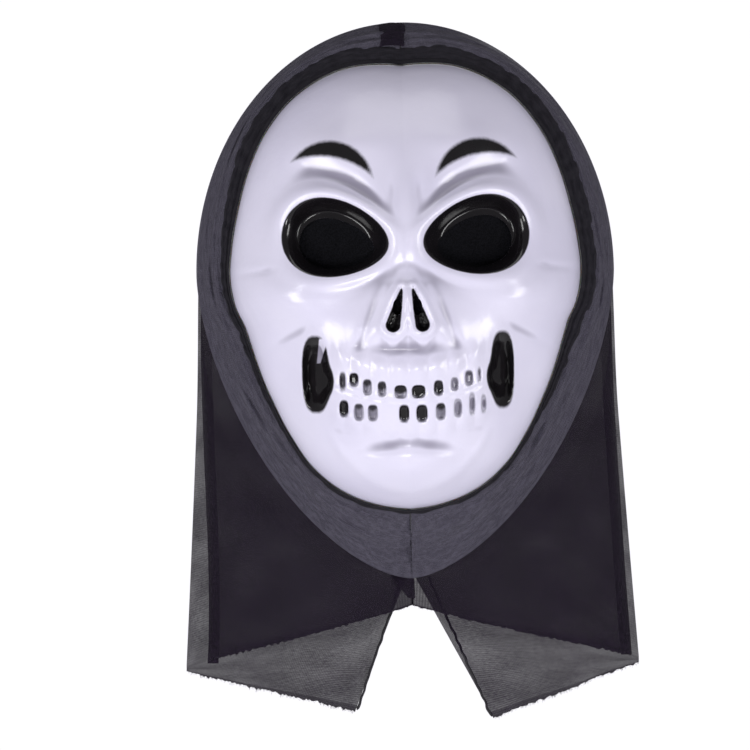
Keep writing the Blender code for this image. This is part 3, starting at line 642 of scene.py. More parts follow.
def cloth_look(name, colour, second, alpha, spread, crinkle=260):
    """Sheer woven cloth: threads, crinkle, uneven density, and denser where the fold attribute says so."""
    look = Look(name, colour, 0.78, Specular_IOR_Level=0.15, Sheen_Weight=0.05, Sheen_Roughness=0.5)
    uv = look.weave()
    scale = THREADS_PER_METRE / 6.283
    web = look.math("MAXIMUM", *(look.bands(uv, way, scale, Distortion=0.6, Detail=1.0) for way in "XY"))
    stretched = look.node("ShaderNodeMapping", Vector=uv, Scale=(1.0, 3.4, 1.0))
    creases = look.noise(crinkle, 4, stretched, 0.65)
    slanted = look.node("ShaderNodeMapping", Vector=uv, Rotation=(0.0, 0.0, 0.6), Scale=(1.0, 2.6, 1.0))
    cloud = look.noise(17, 4, slanted)
    density = look.math("ADD", look.math("MULTIPLY", look.math("SUBTRACT", creases, 0.5), 1.3 * spread),
                        look.math("MULTIPLY", look.math("SUBTRACT", cloud, 0.5), 1.1 * spread))
    density = look.math("ADD", density, look.math("MULTIPLY", look.math("SUBTRACT", web, 0.6), 0.6 * spread))
    solid = look.math("ADD", alpha, density, clamp=True)
    fold = look.attribute("fold")
    rest = look.math("SUBTRACT", 1.0, solid)
    solid = look.math("ADD", solid, look.math("MULTIPLY", rest, fold), clamp=True)
    look.feed("Alpha", solid)
    look.feed("Base Color", look.mix(look.remap(creases, 0.35, 0.7), colour, second))
    fine = look.bump(web, 0.00012, 0.6)
    look.feed("Normal", look.bump(creases, 0.0006, 0.55, fine))
    return look.material


def gauze_look():
    look = Look("black_gauze", (0.006, 0.006, 0.008), 0.9, Specular_IOR_Level=0.1)
    place = look.place()
    cells = look.node("ShaderNodeTexVoronoi", 0, Vector=place, Scale=1700)
    thread, gap = (0.009, 0.009, 0.012), (0.002, 0.002, 0.003)
    look.feed("Base Color", look.mix(look.remap(cells, 0.2, 0.7), thread, gap))
    look.feed("Normal", look.bump(cells, 0.0002, 0.8))
    return look.material


def thread_look(name, colour, second):
    look = Look(name, colour, 0.7, Specular_IOR_Level=0.35)
    twist = look.noise(2600, 3)
    look.feed("Base Color", look.mix(twist, colour, second))
    look.feed("Normal", look.bump(twist, 0.0002, 0.7))
    return look.material


def elastic_look():
    look = Look("woven_elastic", (0.014, 0.014, 0.017), 0.62, Specular_IOR_Level=0.35, Sheen_Weight=0.1)
    uv = look.weave()
    ribs, knit = look.bands(uv, "Y", 170.0), look.bands(uv, "X", 130.0)
    look.feed("Base Color", look.mix(ribs, (0.008, 0.008, 0.010), (0.030, 0.030, 0.036)))
    look.feed("Normal", look.bump(knit, 0.0003, 0.5, look.bump(ribs, 0.0005, 0.8)))
    return look.material


def glue_look():
    look = Look("hot_melt_glue", (0.70, 0.64, 0.50), 0.25, Subsurface_Weight=0.4, Subsurface_Scale=0.002)
    cloud = look.noise(180, 3)
    look.feed("Base Color", look.mix(cloud, (0.74, 0.69, 0.56), (0.60, 0.54, 0.40)))
    look.feed("Roughness", look.remap(cloud, 0.3, 0.7, 0.16, 0.38))
    return look.material


def steel_look():
    look = Look("staple_wire", (0.62, 0.62, 0.64), 0.3, Metallic=1.0)
    marks = look.noise(900, 4)
    look.feed("Roughness", look.remap(marks, 0.3, 0.7, 0.2, 0.45))
    look.feed("Base Color", look.mix(marks, (0.66, 0.66, 0.68), (0.50, 0.49, 0.48)))
    return look.material


# The shell

def egg_outline(side, half, margin=0.0, count=160):
    turn = np.linspace(0, 2 * math.pi, count, endpoint=False)
    u = np.cos(turn)
    v = np.sin(turn) * (1 + EGG_TAPER * u)
    u, v = u * (half[0] + margin), v * (half[1] + margin)
    c, s = math.cos(EYE_TILT), math.sin(EYE_TILT)
    centre = ((EYE_CENTRE[0] + OPENING_SHIFT[0]) * MM, (EYE_CENTRE[1] + OPENING_SHIFT[1]) * MM)
    return side * (centre[0] + u * c - v * s), centre[1] + v * c + u * s


def nostril_middle():
    return (NOSTRIL_TIP[0] + NOSTRIL_FOOT[0]) / 2 * MM, (NOSTRIL_TIP[1] + NOSTRIL_FOOT[1]) / 2 * MM


def paint_of(x, z):
    """The sprayed paint over the face: the distance outside it, its density, and its edge's softness. The
    tooth gaps' unpainted parts get grey, partly thin paint and partly painted shade of the recess; a wedge of
    the left cheek slot stays bare as a painted highlight.
    """
    ax = np.abs(x)
    socket = egg(ax, z, EYE_CENTRE, EYE_HALF, EYE_TILT)
    nostril = drop_shape(ax, z, NOSTRIL_TIP, NOSTRIL_FOOT, 0.5, 3.9)
    slot = cheek_slot(x, z)
    # painted highlight: a wedge at the top of the left cheek slot is left unpainted, so its white stands for
    # a reflection on the black paint
    highlight_wedge = np.maximum(np.abs(x + 45.9 - (z + 32) * 0.22) - 0.9 - (z + 40) * 0.10, np.abs(z + 33) - 6.5)
    slot = np.where(x < 0, np.maximum(slot, -highlight_wedge), slot)
    brow = crescent(ax, z)
    regions = [(socket, 1.0, 0.35), (nostril, 1.0, 0.35), (slot, 1.0, 0.4), (brow, 1.0, 1.3)]
    for gap in TOOTH_GAPS:
        u, v = (x - gap[0]) / gap[2], (z - gap[1]) / gap[3]
        # a gap's unpainted part is grey, darker at its rim: partly thin paint, partly painted shade of the
        # recess
        sprayed = step_up((v - 0.35 * np.abs(u) + 2.1 * gap[4] - 1.0) / 0.5)
        dark_rim = step_up((np.maximum(np.abs(u), np.abs(v)) - 0.55) / 0.4)
        thin_paint_and_shade = (0.30 + 0.30 * dark_rim) * min(gap[5] + 0.2, 1)  # how dense a gap's unpainted part looks
        regions.append((tooth_gap(x, z, gap), thin_paint_and_shade + (gap[5] - thin_paint_and_shade) * sprayed, 0.35))
    paint = np.full(x.shape, 60.0)
    ink = np.ones(x.shape)
    feather = np.full(x.shape, 0.4)
    for distance, density, soft in regions:
        nearer = distance < paint
        paint = np.where(nearer, distance, paint)
        ink = np.where(nearer, density, ink)
        feather = np.where(nearer, soft, feather)
    return paint, ink, feather


def valley_shade_depth_of(x, z):
    """How far the face lies below the mean of its surroundings, near and farther off, in millimetres; this
    sets the shade painted into the white in the hollows.
    """
    here = relief(x, z)
    depth = 0.0
    for reach, share in ((4.0, 1.0), (9.0, 0.6)):
        around = relief(x + reach, z) + relief(x - reach, z) + relief(x, z + reach) + relief(x, z - reach)
        depth = depth + share * (around / 4 - here)
    return depth * step_up((90 - np.hypot(x, z * 0.8)) / 20)


def prism_cutter(name, x, z):
    """A closed prism along Y through an outline, to cut a hole."""
    count = len(x)
    points = [(a, -0.10, b) for a, b in zip(x, z)] + [(a, 0.0, b) for a, b in zip(x, z)]
    faces = [tuple(range(count)), tuple(reversed(range(count, 2 * count)))]
    faces += [(i, i + count, (i + 1) % count + count, (i + 1) % count) for i in range(count)]
    mesh = bpy.data.meshes.new(name)
    mesh.from_pydata(points, [], faces)
    cutter = bpy.data.objects.new(name, mesh)
    bpy.context.scene.collection.objects.link(cutter)
    bpy.context.view_layer.update()
    centre = Vector((float(np.mean(x)), -0.05, float(np.mean(z))))
    outward = sum((f.center - centre).dot(f.normal) for f in mesh.polygons)
    if outward < 0:
        mesh.flip_normals()
    return cutter


def skull_shell(look):
    columns, rows = 120 * FINE, 150 * FINE
    u, v = np.meshgrid(np.linspace(-1, 1, columns + 1), np.linspace(-1, 1, rows + 1))
    u, v = u * np.sqrt(1 - v * v / 2), v * np.sqrt(1 - u * u / 2)
    rim_x, rim_z = rim_point(np.arctan2(v, u))
    share = np.hypot(u, v)
    x, z = rim_x * share, rim_z * share
    grid = np.stack([x, -relief(x / MM, z / MM) * MM, z], axis=-1)
    shell = add(sheet_mesh("skull_shell", grid), "skull_shell", look, None, ("face_shell",))
    thicken(shell, FACE_WALL, -1)
    cutters = []
    for where, side in SIDES.items():
        cutters.append(prism_cutter(f"cut_eye_{where}", *egg_outline(side, OPENING_HALF)))
        turn = np.linspace(0, 2 * math.pi, 40, endpoint=False)
        mid_x, mid_z = nostril_middle()
        hole_x = side * mid_x + NOSTRIL_HOLE[0] * np.cos(turn)
        cutters.append(prism_cutter(f"cut_nostril_{where}", hole_x, mid_z + NOSTRIL_HOLE[1] * np.sin(turn)))
    for cutter in cutters:
        cut = shell.modifiers.new(cutter.name, "BOOLEAN")
        cut.operation = "DIFFERENCE"
        cut.object = cutter
        cut.solver = "EXACT"
    bpy.context.view_layer.update()
    graph = bpy.context.evaluated_depsgraph_get()
    mesh = bpy.data.meshes.new_from_object(shell.evaluated_get(graph))
    shell.modifiers.clear()
    shell.data = mesh
    for cutter in cutters:
        bpy.data.objects.remove(cutter)
    mesh.materials.clear()
    mesh.materials.append(look)
    co = np.array([vertex.co for vertex in mesh.vertices])
    paint, ink, feather = paint_of(co[:, 0] / MM, co[:, 2] / MM)
    surface = -relief(co[:, 0] / MM, co[:, 2] / MM) * MM
    inside = co[:, 1] > surface + FACE_WALL * 0.6
    # the hollows' depth, stored to paint shade into the white; none on the inside
    set_attribute(mesh, "painted_valley_shade", np.where(inside, 0.0, valley_shade_depth_of(co[:, 0] / MM, co[:, 2] / MM)))
    set_attribute(mesh, "paint", np.where(inside, 60.0, paint))
    set_attribute(mesh, "ink", ink)
    set_attribute(mesh, "feather", feather)
    mesh.shade_smooth()
    mesh.set_sharp_from_angle(angle=math.radians(50))
    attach(shell, "root")
    return shell


def patch(name, x, z, depth_at, look, node):
    """Gauze over an opening: rings of points from the middle out to the outline, sagging a little."""
    middle_x, middle_z = float(np.mean(x)), float(np.mean(z))
    rings = []
    for share in np.linspace(0.001, 1, 12):
        px, pz = middle_x + (x - middle_x) * share, middle_z + (z - middle_z) * share
        slack = 0.0003 * (1 - share**2)
        rings.append(np.stack([px, depth_at(px, pz) + slack, pz], axis=-1))
    return cloth_piece(name, np.array(rings), look, (node,), GAUZE, closed=True)


def gauze_patches(look):
    made = []
    for where, side in SIDES.items():
        x, z = egg_outline(side, OPENING_HALF, PATCH_OVERLAP, 96)
        behind = FACE_WALL * 1.1 + 0.0007

        def behind_socket(px, pz):
            return behind - socket_floor(np.abs(px) / MM, pz / MM) * MM

        made.append(patch(f"eye_gauze_{where}", x, z, behind_socket, look, f"eye_mesh_{where}"))
    low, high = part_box("nose_mesh")
    turn = np.linspace(0, 2 * math.pi, 64, endpoint=False)
    x = (high.x - low.x) / 2 * np.cos(turn)
    z = (high.z + low.z) / 2 + (high.z - low.z) / 2 * np.sin(turn)
    middle_y = (low.y + high.y) / 2
    made.append(patch("nose_gauze", x, z, lambda px, pz: np.full_like(px, middle_y), look, "nose_mesh"))
    return made


# The binding and the band

def shown_binding_width(angle, side):
    """The binding shows wider on the right, where the cloth is turned further over."""
    level = 1 - step_up(np.abs(np.sin(angle)) / 0.95)
    return binding_width(angle) + np.where(side > 0, 0.0030, -0.0008) * level


def binding(look):
    """The dark folded edge round the rim, with gathers and two ridges where the cloth is turned in."""
    columns, rows = 540 * FINE, 9 * FINE
    angle = np.linspace(0, 2 * math.pi, columns, endpoint=False) - math.pi / 2
    width = shown_binding_width(angle, np.cos(angle))
    grid = []
    for share in np.linspace(0, 1, rows):
        outward = 0.0008 + share * (width - 0.0008)
        climb = 0.0026 * (1 - step_up(share / 0.30))
        around = angle * 0.105
        gathers = 0.00030 * ripple(around, share * 0.004, 3, 0.009) * (0.4 + share)
        ridge = 0.0006 * hump(share - 0.45, 0.16) + 0.0005 * hump(share - 0.85, 0.09)
        y = 0.0006 - 0.0006 * math.sin(math.pi * share) - climb - ridge + gathers
        x, z = rim_point(angle, outward + 0.00025 * ripple(around, 0 * around, 5, 0.012) * share)
        grid.append(np.stack([x, y, z], axis=-1))
    return cloth_piece("binding", np.array(grid), look, ("rim_binding",), BINDING_CLOTH,
                       (0.72, 0.010), 1.0, True)


def band_y(share):
    return BAND_INNER_Y + (BAND_SETBACK - BAND_INNER_Y) * share**1.6


def facing_band(where, side, look):
    """Half of the grey band: out from the binding, then rolled back over the hood's edge."""
    columns, rows = 220 * FINE, 20 * FINE
    turn = np.linspace(-math.pi / 2, math.pi / 2, columns)
    outer_x, outer_z = band_edge(turn)
    angle = np.arctan2(outer_z, np.maximum(outer_x, 1e-9))
    inner_x, inner_z = rim_point(angle, shown_binding_width(angle, side) - 0.0006)
    grid, fold = [], []
    for share in np.linspace(0, 1.0, rows):
        x = inner_x + (outer_x - inner_x) * share
        z = inner_z + (outer_z - inner_z) * share
        bulge = math.sin(math.pi * share)
        drape = 0.0007 * bulge * ripple(x, z, 11 + side, 0.030)
        lines = 0.0005 * bulge * ripple(angle * 0.02, share * 0.03, 17 + side, 0.006)
        y = band_y(share) + drape + lines - 0.0010 * bulge
        x = np.maximum(x, 0.0004 * (1 - share))
        grid.append(np.stack([side * x, np.full_like(x, 0) + y, z], axis=-1))
        fold.append(np.full(columns, 0.35 * hump(share - 1, 0.06) + 0.9 * hump(share, 0.05)))
    above = step_up((outer_z + 0.05) / 0.04)
    for back in (0.0005, 0.0012, 0.0022, 0.0034, 0.0048):
        y = BAND_SETBACK + back * (0.25 + 0.75 * above)
        tuck = 0.0003 * (back / 0.0048)
        grid.append(np.stack([side * outer_x, y, outer_z - tuck * np.sign(outer_z)], axis=-1))
        fold.append(np.full(columns, 0.5))
    return cloth_piece(f"band_{where}", np.array(grid), look, (f"facing_band_{where}",),
                       BAND_CLOTH, (0.52, 0.045), np.array(fold))


# The hood and the skirt

def free_part(grid, from_middle):
    """1 where the cloth hangs free, 0 at the middle seam and at the side seam."""
    x = np.abs(grid[..., 0])
    return step_up(x / from_middle) * step_up((half_width(grid[..., 2]) - x) / 0.02)


def hood_cloth(where, side, look):
    """Half of the hood with its tail: one piece from the crown down to the tail's hem."""
    slit_x, tip = SLIT_TOP_X[where], TIP[where]
    columns, crown_rows, lower_rows, tail_rows = 70 * FINE, 40 * FINE, 80 * FINE, 30 * FINE
    turn = np.linspace(0, 1, columns)
    rows = []
    for rise in np.radians(np.linspace(89, 3, crown_rows)):
        z = BAND_MID_Z + (BAND_TOP_Z - BAND_MID_Z) * math.sin(rise)
        rows.append(back_row(np.full_like(turn, z), turn, 0.0004, side))
    for share in np.linspace(0, 1, lower_rows):
        z = np.full_like(turn, BAND_MID_Z)
        for _ in range(6):
            x = np.abs(back_row(z, turn, 0.0004, side)[:, 0])
            spread = slit_x + (half_width(CORNER_Z) - slit_x) * (1 - turn)
            x = x * (1 - share**3) + share**3 * np.maximum(x, spread)
            z = BAND_MID_Z + (fold_z(x, slit_x) - BAND_MID_Z) * share
        rows.append(back_row(z, turn, 0.0004, side))
    fold_line = rows[-1].copy()
    corner_x = half_width(CORNER_Z)
    hem_share = np.clip((corner_x - np.abs(fold_line[:, 0])) / (corner_x - slit_x), 0, 1)
    hem_x = corner_x + (tip[0] - corner_x) * hem_share
    hem_z = CORNER_Z - FOLD_GAP + (tip[1] - CORNER_Z + FOLD_GAP) * hem_share
    for share in np.linspace(0, 1, tail_rows + 1)[1:]:
        x = np.abs(fold_line[:, 0]) + (hem_x - np.abs(fold_line[:, 0])) * share
        z = fold_line[:, 2] + (hem_z - fold_line[:, 2]) * share
        rows.append(back_point(side * x, z))
    grid = np.array(rows)
    low = step_up((-0.03 - grid[..., 2]) / 0.16)
    drape = ripple(grid[..., 0], grid[..., 2] * 0.35, 31 + side, 0.038)
    grid[..., 1] += (0.0006 + 0.0016 * low) * drape * free_part(grid, 0.012)
    ragged = 0.0004 * ripple(grid[-1, :, 0], 0 * grid[-1, :, 0], 41 + side, 0.0022)
    grid[-1, :, 2] += ragged
    fold = np.zeros(grid.shape[:2])
    fold[-3:] = 0.35
    fold += 0.45 * hump(turn[None, :] - 1, 0.02) * (np.arange(len(grid)) < crown_rows + lower_rows)[:, None]
    cloth = cloth_piece(f"hood_{where}", grid, look, (f"hood_panel_{where}", f"tail_{where}"),
                        SHEER_CLOTH, (0.21, 0.42), fold, body=None)
    return cloth, grid[-1]


def fold_blend(thing, where, side):
    """Works out the fold line from the slit's top to the corner and the way down to the tail's tip, then
    bakes the cloth's transform into its mesh.
    """
    slit_x = SLIT_TOP_X[where]
    corner_x = half_width(CORNER_Z)
    corner = Vector(back_point(np.array(side * corner_x), np.array(CORNER_Z)).tolist())
    top = Vector(back_point(np.array(side * slit_x), np.array(SLIT_TOP_Z)).tolist())
    tip = Vector(back_point(np.array(side * TIP[where][0]), np.array(TIP[where][1])).tolist())
    along = (top - corner).normalized()
    down = (tip - corner) - along * (tip - corner).dot(along)
    down.normalize()
    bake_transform(thing)


def joined_y(x, z, near, width):
    """The depth that brings the skirt up to the band's back along the band's edge."""
    drop = np.clip((BAND_MID_Z - z) / (BAND_MID_Z - BAND_BOTTOM_Z), 0, 1)
    arc_x = BAND_HALF_WIDTH * (1 - drop**BAND_LOWER_POWER) ** (1 / BAND_LOWER_POWER)
    beyond = np.clip((x - arc_x) / np.maximum(width - arc_x, 0.001), 0, 1)
    behind_band = BAND_SETBACK + 0.0026 + 0.0040 * step_up((BAND_BOTTOM_Z - z) / 0.012)
    return behind_band + (near - behind_band) * beyond**1.2


def front_skirt(where, side, look):
    """Half of the skirt's front, from behind the band to the front hem."""
    columns, rows = 80 * FINE, 70 * FINE
    turn = np.linspace(0, 1, columns)
    grid = []
    for share in np.linspace(0, 1, rows):
        z = np.full_like(turn, -0.080)
        for _ in range(8):
            width = half_width(z) - selvedge(z, side)
            power = front_power(z)
            first = np.arcsin(np.clip(0.0003 / width, 0, 1) ** (power / 2))
            bend = first + turn * (math.pi / 2 - first)
            x = width * np.sin(bend) ** (2 / power)
            top = np.minimum(band_arc_z(x) + FRONT_OVERLAP, BAND_MID_Z - FRONT_OVERLAP)
            z = top + (front_hem_z(x) - top) * share
        near = side_y(z) - 0.0008
        y = near - (near - front_y(z)) * np.cos(bend) ** (2 / power)
        y = y + (np.minimum(y, joined_y(x, z, near, width)) - y) * step_up((x - 0.012) / 0.020)
        grid.append(np.stack([side * x, y, z], axis=-1))
    grid = np.array(grid)
    free = free_part(grid, 0.010)
    grid[..., 1] += 0.0014 * ripple(grid[..., 0], grid[..., 2] * 0.4, 51 + side, 0.034) * free + 0.0008 * free
    grid[-1, :, 2] += 0.0003 * ripple(grid[-1, :, 0], 0 * grid[-1, :, 0], 61 + side, 0.0024)
    fold = 0.75 * hump((np.arange(rows)[:, None] - rows) / rows, 0.035)
    fold = fold + 0.35 * step_up((0.012 - np.abs(grid[..., 0])) / 0.004) * (1 if side < 0 else 0.1)
    cloth = cloth_piece(f"skirt_{where}", grid, look, (f"front_skirt_{where}",),
                        SHEER_CLOTH, (0.13, 0.10), np.clip(fold, 0, 1))
    return cloth, grid[-1]


# Seams, hems and loose threads

def lengths_along(path):
    return np.concatenate([[0], np.cumsum(np.linalg.norm(np.diff(path, axis=0), axis=1))])


def read_at(values, along, at):
    return np.stack([np.interp(at, along, column) for column in np.asarray(values, float).T], axis=1)


def fine_path(points, count):
    """The same path through evenly spaced points."""
    along = lengths_along(points)
    return read_at(points, along, np.linspace(0, along[-1], count))


STITCH_PITCH = 0.0021
STITCH_WIDTH = 0.0030


def overlock(path, inward):
    """Stitches that zigzag over a seam's edge."""
    along = lengths_along(path)
    count = max(int(along[-1] / STITCH_PITCH) * 2, 4)
    at = np.linspace(0, along[-1], count)
    reach = STITCH_WIDTH * (np.arange(count) % 2)
    return read_at(path, along, at) + read_at(inward, along, at) * reach[:, None]


def seam(name, path, inward, node, cloth, thread):
    """A seam allowance that stands in from the cloth, with overlocked thread along it."""
    shares = np.linspace(0, 1, 6)
    wave = 0.0006 * ripple(np.arange(len(path)) * 0.004, 0 * path[:, 0], 71, 0.02)
    lean = np.cross(inward, np.gradient(path, axis=0))
    lean /= np.maximum(np.linalg.norm(lean, axis=1), 1e-9)[:, None]
    grid = np.array([path + inward * SEAM_ALLOWANCE * s + lean * (wave * s)[:, None] for s in shares])
    cloth_piece(name, grid, cloth, (node,), SEAM_CLOTH, (0.3, SEAM_ALLOWANCE), 0.8)
    stitches = tube_mesh(f"{name}_stitches", [overlock(path + inward * 0.0012, inward)], 0.00022, 5)
    add(stitches, f"{name}_stitches", thread)


def seams(cloth, thread):
    rise = np.radians(np.linspace(86, 4, 60))
    over_crown = BAND_MID_Z + (BAND_TOP_Z - BAND_MID_Z) * np.sin(rise)
    z = np.concatenate([over_crown, np.linspace(BAND_MID_Z, SLIT_TOP_Z + 0.002, 70)])
    outer = np.stack([np.zeros_like(z), back_y(z) - 0.0004, z], axis=-1)
    inward = np.array([0, BAND_SETBACK, 0.0]) - outer
    inward[:, 2] = np.where(outer[:, 2] > 0, inward[:, 2], 0)
    inward /= np.linalg.norm(inward, axis=1)[:, None]
    seam("crown_seam_fold", outer, inward, "crown_seam", cloth, thread)
    z = np.linspace(BAND_BOTTOM_Z + 0.010, FRONT_HEM_Z, 40)
    outer = np.stack([np.zeros_like(z), front_y(z) + 0.0012, z], axis=-1)
    seam("chin_seam_fold", outer, np.tile([0, 1.0, 0], (len(z), 1)), "chin_seam", cloth, thread)
    for where, side in SIDES.items():
        z = np.linspace(BAND_MID_Z - 0.016, CORNER_Z + 0.001, 120)
        outer = np.stack([side * (half_width(z) - selvedge(z, side) + 0.0004), side_y(z), z], axis=-1)
        inward = np.tile([-side * 1.0, 0, 0], (len(z), 1))
        seam(f"side_seam_fold_{where}", outer, inward, f"side_seam_{where}", cloth, thread)


def fringe(name, edge, down, look, body, seed, count=260, length=0.0016):
    """Short frayed fibres along a cut edge."""
    random = np.random.default_rng(seed)
    edge = fine_path(edge, 400)
    lines = []
    for _ in range(count):
        i = int(random.integers(1, len(edge) - 1))
        way = np.asarray(down) + random.normal(0, 0.45, 3) * (1, 0.5, 0.6)
        way /= np.linalg.norm(way)
        reach = length * random.uniform(0.3, 1.0)
        bend = random.normal(0, 0.25, 3) * reach
        lines.append([edge[i], edge[i] + way * reach * 0.5 + bend * 0.4, edge[i] + way * reach + bend])
    return add(tube_mesh(name, lines, 0.00007, 3), name, look, body)


def slit_hem(where, side, thread):
    """The rolled hem along the slit, with the cloth's own slight waves."""
    share = np.linspace(0.02, 0.99, 70)
    slit_x, tip = SLIT_TOP_X[where], TIP[where]
    x = slit_x + (tip[0] - slit_x) * share - 0.0009
    z = SLIT_TOP_Z - FOLD_GAP + (tip[1] - SLIT_TOP_Z + FOLD_GAP) * share
    line = back_point(side * x, z)
    line[:, 0] += 0.0002 * ripple(z, 0 * z, 81 + side, 0.006)
    uneven = ripple(np.arange(70) * 0.004, np.zeros(70), 83, 0.02)
    mesh = tube_mesh(f"rolled_hem_{where}", [line], 0.0007, 8, 1 + 0.15 * uneven)
    hem = add(mesh, f"rolled_hem_{where}", thread, None, (f"slit_hem_{where}",))
    fold_blend(hem, where, side)
    return hem


# The strap, its staples and the glue

def strap(look):
    """The elastic, along the CAD strap's middle line, with a ribbed surface and wavy edges.

    The points are put in order by their angle from +X. The left end's points with y below 0 come first,
    so a straight strand runs from them across the front to the right end. The CAD strap has no such strand.
    """
    points = np.array([v.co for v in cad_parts["elastic_strap"].data.vertices])
    low, high = points.min(axis=0), points.max(axis=0)
    edge = points[np.abs(points[:, 2] - high[2]) < 0.0002]
    edge = edge[np.argsort(np.arctan2(edge[:, 1], edge[:, 0]))]
    groups = []
    for point in edge:
        if groups and np.linalg.norm(np.mean(groups[-1], axis=0) - point) < STRAP_THICKNESS * 1.3:
            groups[-1].append(point)
        else:
            groups.append([point])
    route = fine_path([np.mean(g, axis=0) for g in groups], 240)
    grid = []
    for share in np.linspace(0, 1, 9):
        row = route.copy()
        row[:, 2] = low[2] + (high[2] - low[2]) * share
        row[:, 2] += 0.00015 * ripple(np.arange(240) * 0.002, np.zeros(240), 91, 0.01) * abs(2 * share - 1)
        grid.append(row)
    loop = cloth_piece("elastic_loop", np.array(grid), look, ("elastic_strap",),
                       STRAP_THICKNESS * 0.9, (0.34, STRAP_WIDTH), body=None)
    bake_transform(loop)
    return loop


def staple(where, side, look):
    """A bent wire across the strap's end."""
    low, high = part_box(f"staple_{where}")
    inner, outer = (high.x, low.x) if side < 0 else (low.x, high.x)
    wire = 0.0004
    y = (low.y + high.y) / 2
    inner_x, outer_x = inner + side * wire, outer - side * 0.0001
    bend = 0.0006
    legs = []
    for z, up in ((low.z + wire, -1), (high.z - wire, 1)):
        leg = [(outer_x, y, z)]
        for t in np.linspace(0, math.pi / 2, 6):
            leg.append((inner_x + side * bend * (1 - math.sin(t)), y, z - up * bend * (1 - math.cos(t))))
        legs.append(leg)
    name = f"wire_staple_{where}"
    mesh = tube_mesh(name, [legs[0] + legs[1][::-1]], wire * 0.95, 10)
    return add(mesh, name, look, "root", (f"staple_{where}",))


def glue(look):
    """The hot-melt bead inside the rim, thicker and thinner as it was laid."""
    low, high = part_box("glue_bead")
    angle = np.linspace(0, 2 * math.pi, 360, endpoint=False) - math.pi / 2
    x, z = rim_point(angle, -FACE_WALL * 0.5)
    y = np.full_like(x, (low.y + high.y) / 2)
    uneven = ripple(angle * 0.1, 0 * angle, 95, 0.02)
    line = np.stack([x, y, z], axis=-1)
    mesh = tube_mesh("glue_line", [line], 0.0010, 12, 1 + 0.12 * uneven, True)
    return add(mesh, "glue_line", look, "root", ("glue_bead",))


# Folds that show through the cloth

def crown_tab(look):
    """The seam allowance that lies flat against the band at the crown."""
    left, right, low, high = CROWN_TAB
    u, v = np.meshgrid(np.linspace(0, 1, 24), np.linspace(0, 1, 24))
    x = left + (right - left) * u + 0.0004 * ripple(u * 0.01, v * 0.01, 101, 0.006)
    z = high + (low - high) * v - 0.0009 * (2 * u - 1) ** 2
    foot_z = low - 0.0015
    share = np.clip((z - foot_z) / (BAND_TOP_Z - foot_z), 0, 1)
    y = band_y(share) - 0.0022 + 0.0003 * ripple(x, z, 103, 0.01)
    grid = np.stack([x, y, z], axis=-1)
    return cloth_piece("crown_tab", grid, look, (), SHEER_CLOTH, (0.0134, 0.0127), 0.3)


def chin_fold(look):
    """The folded triangle of cloth under the chin."""
    u, v = np.meshgrid(np.linspace(0, 1, 20), np.linspace(0, 1, 60))
    top_z, widest_z, bottom_z = CHIN_FOLD_Z
    z = top_z + (bottom_z - top_z) * v
    left = np.interp(z, (bottom_z, widest_z, top_z), (-0.0020, -0.0112, -0.0012))
    right = np.interp(z, (bottom_z, top_z), (0.0018, -0.0004))
    x = left + (right - left) * u
    y = front_y(z) - 0.0016 + 0.0004 * ripple(x, z, 105, 0.012)
    grid = np.stack([x, y, z], axis=-1)
    return cloth_piece("chin_fold", grid, look, (), SHEER_CLOTH, (0.012, 0.046), 0.2)


# The studio

VIEW_WIDTH = 0.405  # what the camera takes in across, at the rim plane
CAMERA_AIM = Vector((-0.0176, 0.0, -0.0471))
CAMERA_YAW = math.radians(-0.2)
CAMERA_RISE = math.radians(1.0)
CAMERA_ROLL = math.radians(-1.23)
CAMERA_DISTANCE = 2.8
SENSOR = 36.0


# Each soft light: name, place, size, power
LIGHTS = (
    ("left_box", (-1.7, -1.1, -0.40), (0.6, 1.3), 21),
    ("right_box", (1.7, -1.1, -0.40), (0.6, 1.3), 20),
    ("front_box", (-0.3, -2.4, -0.9), (0.9, 0.5), 20),
    ("top_box", (0.0, -0.3, 1.8), (1.3, 0.8), 5),
    ("back_box", (0.3, 1.7, 0.9), (1.4, 0.8), 14),
)
LIGHT_AIM = Vector((0, 0, -0.03))
BACKDROP_SHOWN = 1.05  # how bright the backdrop looks
BACKDROP_LIGHT = 0.21  # how bright it lights the mask
FLOOR_Z = -0.95
FLOOR_RADIUS = 1.3


def camera():
    data = bpy.data.cameras.new("camera")
    data.sensor_width = SENSOR
    data.lens = SENSOR * CAMERA_DISTANCE / VIEW_WIDTH
    data.clip_end = 50
    eye = bpy.data.objects.new("camera", data)
    tilt = Matrix.Rotation(math.pi / 2 - CAMERA_RISE, 4, "X")
    turn = Matrix.Rotation(CAMERA_YAW, 4, "Z") @ tilt @ Matrix.Rotation(CAMERA_ROLL, 4, "Z")
    back = (turn @ Vector((0, 0, 1, 0))).xyz
    eye.matrix_world = Matrix.Translation(CAMERA_AIM + back * CAMERA_DISTANCE) @ turn
    bpy.context.scene.collection.objects.link(eye)
    bpy.context.scene.camera = eye


def area_light(name, place, size, power):
    data = bpy.data.lights.new(name, "AREA")
    data.shape = "RECTANGLE"
    data.size, data.size_y = size
    data.energy = power
    lamp = bpy.data.objects.new(name, data)
    way = LIGHT_AIM - Vector(place)
    lamp.matrix_world = Matrix.Translation(place) @ way.to_track_quat("-Z", "Y").to_matrix().to_4x4()
    bpy.context.scene.collection.objects.link(lamp)


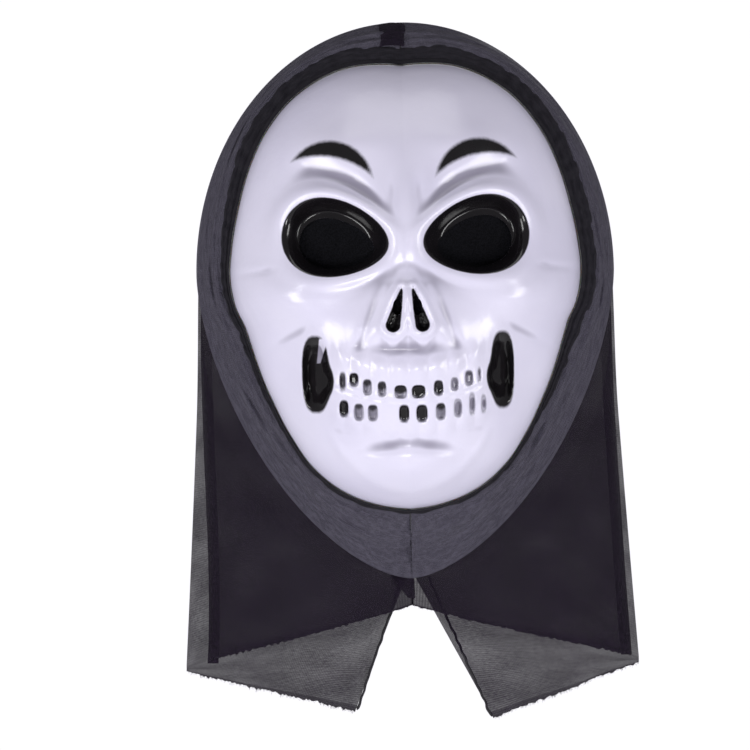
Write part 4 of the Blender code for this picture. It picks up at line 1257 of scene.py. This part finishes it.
def studio():
    scene = bpy.context.scene
    scene.view_settings.view_transform = "Standard"
    world = bpy.data.worlds.new("studio")
    world.use_nodes = True
    scene.world = world
    tree = world.node_tree
    back = tree.nodes["Background"]
    back.inputs["Color"].default_value = (0.97, 0.96, 1.0, 1)
    path = tree.nodes.new("ShaderNodeLightPath")
    strength = tree.nodes.new("ShaderNodeMapRange")
    strength.inputs["To Min"].default_value = BACKDROP_LIGHT
    strength.inputs["To Max"].default_value = BACKDROP_SHOWN
    tree.links.new(path.outputs["Is Camera Ray"], strength.inputs["Value"])
    tree.links.new(strength.outputs["Result"], back.inputs["Strength"])
    for light in LIGHTS:
        area_light(*light)
    floor_look = Look("studio_floor", (0.86, 0.86, 0.88), 0.6)
    cloud = floor_look.noise(2.0, 2)
    floor_look.feed("Base Color", floor_look.mix(cloud, (0.87, 0.87, 0.89), (0.84, 0.84, 0.86)))
    turn = np.linspace(0, 2 * math.pi, 96, endpoint=False)
    mesh = bpy.data.meshes.new("studio_floor")
    edge = [(FLOOR_RADIUS * math.cos(t), FLOOR_RADIUS * math.sin(t), FLOOR_Z) for t in turn]
    mesh.from_pydata(edge, [], [tuple(range(len(edge)))])
    mesh.materials.append(floor_look.material)
    floor = bpy.data.objects.new("studio_floor", mesh)
    scene.collection.objects.link(floor)


def main():
    shell = shell_look()
    black = cloth_look("black_binding", (0.010, 0.009, 0.013), (0.018, 0.016, 0.022), 0.99, 0.02, 200)
    charcoal = cloth_look("charcoal_voile", (0.060, 0.055, 0.078), (0.088, 0.081, 0.110), 0.78, 0.09, 120)
    sheer = cloth_look("sheer_black_voile", (0.006, 0.0030, 0.0100), (0.014, 0.0075, 0.0205), 0.69, 0.30)
    thread = thread_look("black_thread", (0.010, 0.009, 0.012), (0.030, 0.028, 0.034))
    grey_thread = thread_look("grey_thread", (0.05, 0.045, 0.055), (0.11, 0.10, 0.12))

    skull_shell(shell)
    patches = gauze_patches(gauze_look())

    ring = binding(black)
    for where, side in SIDES.items():
        band = facing_band(where, side, charcoal)
        hood, hem_edge = hood_cloth(where, side, sheer)
        fold_blend(hood, where, side)
        frayed = fringe(f"frayed_hem_{where}", hem_edge, (0, 0, -1), grey_thread, None, 111 + side)
        fold_blend(frayed, where, side)
        skirt, front_edge = front_skirt(where, side, sheer)
        slit_hem(where, side, thread)
        fringe(f"frayed_front_{where}", front_edge, (0, 0, -1), thread, "root", 121 + side, 160, 0.0010)
        staple(where, side, steel_look() if where == "left" else bpy.data.materials["staple_wire"])
    seams(sheer, thread)
    tab = crown_tab(sheer)
    fold = chin_fold(sheer)
    strap(elastic_look())
    glue(glue_look())
    camera()
    studio()


main()
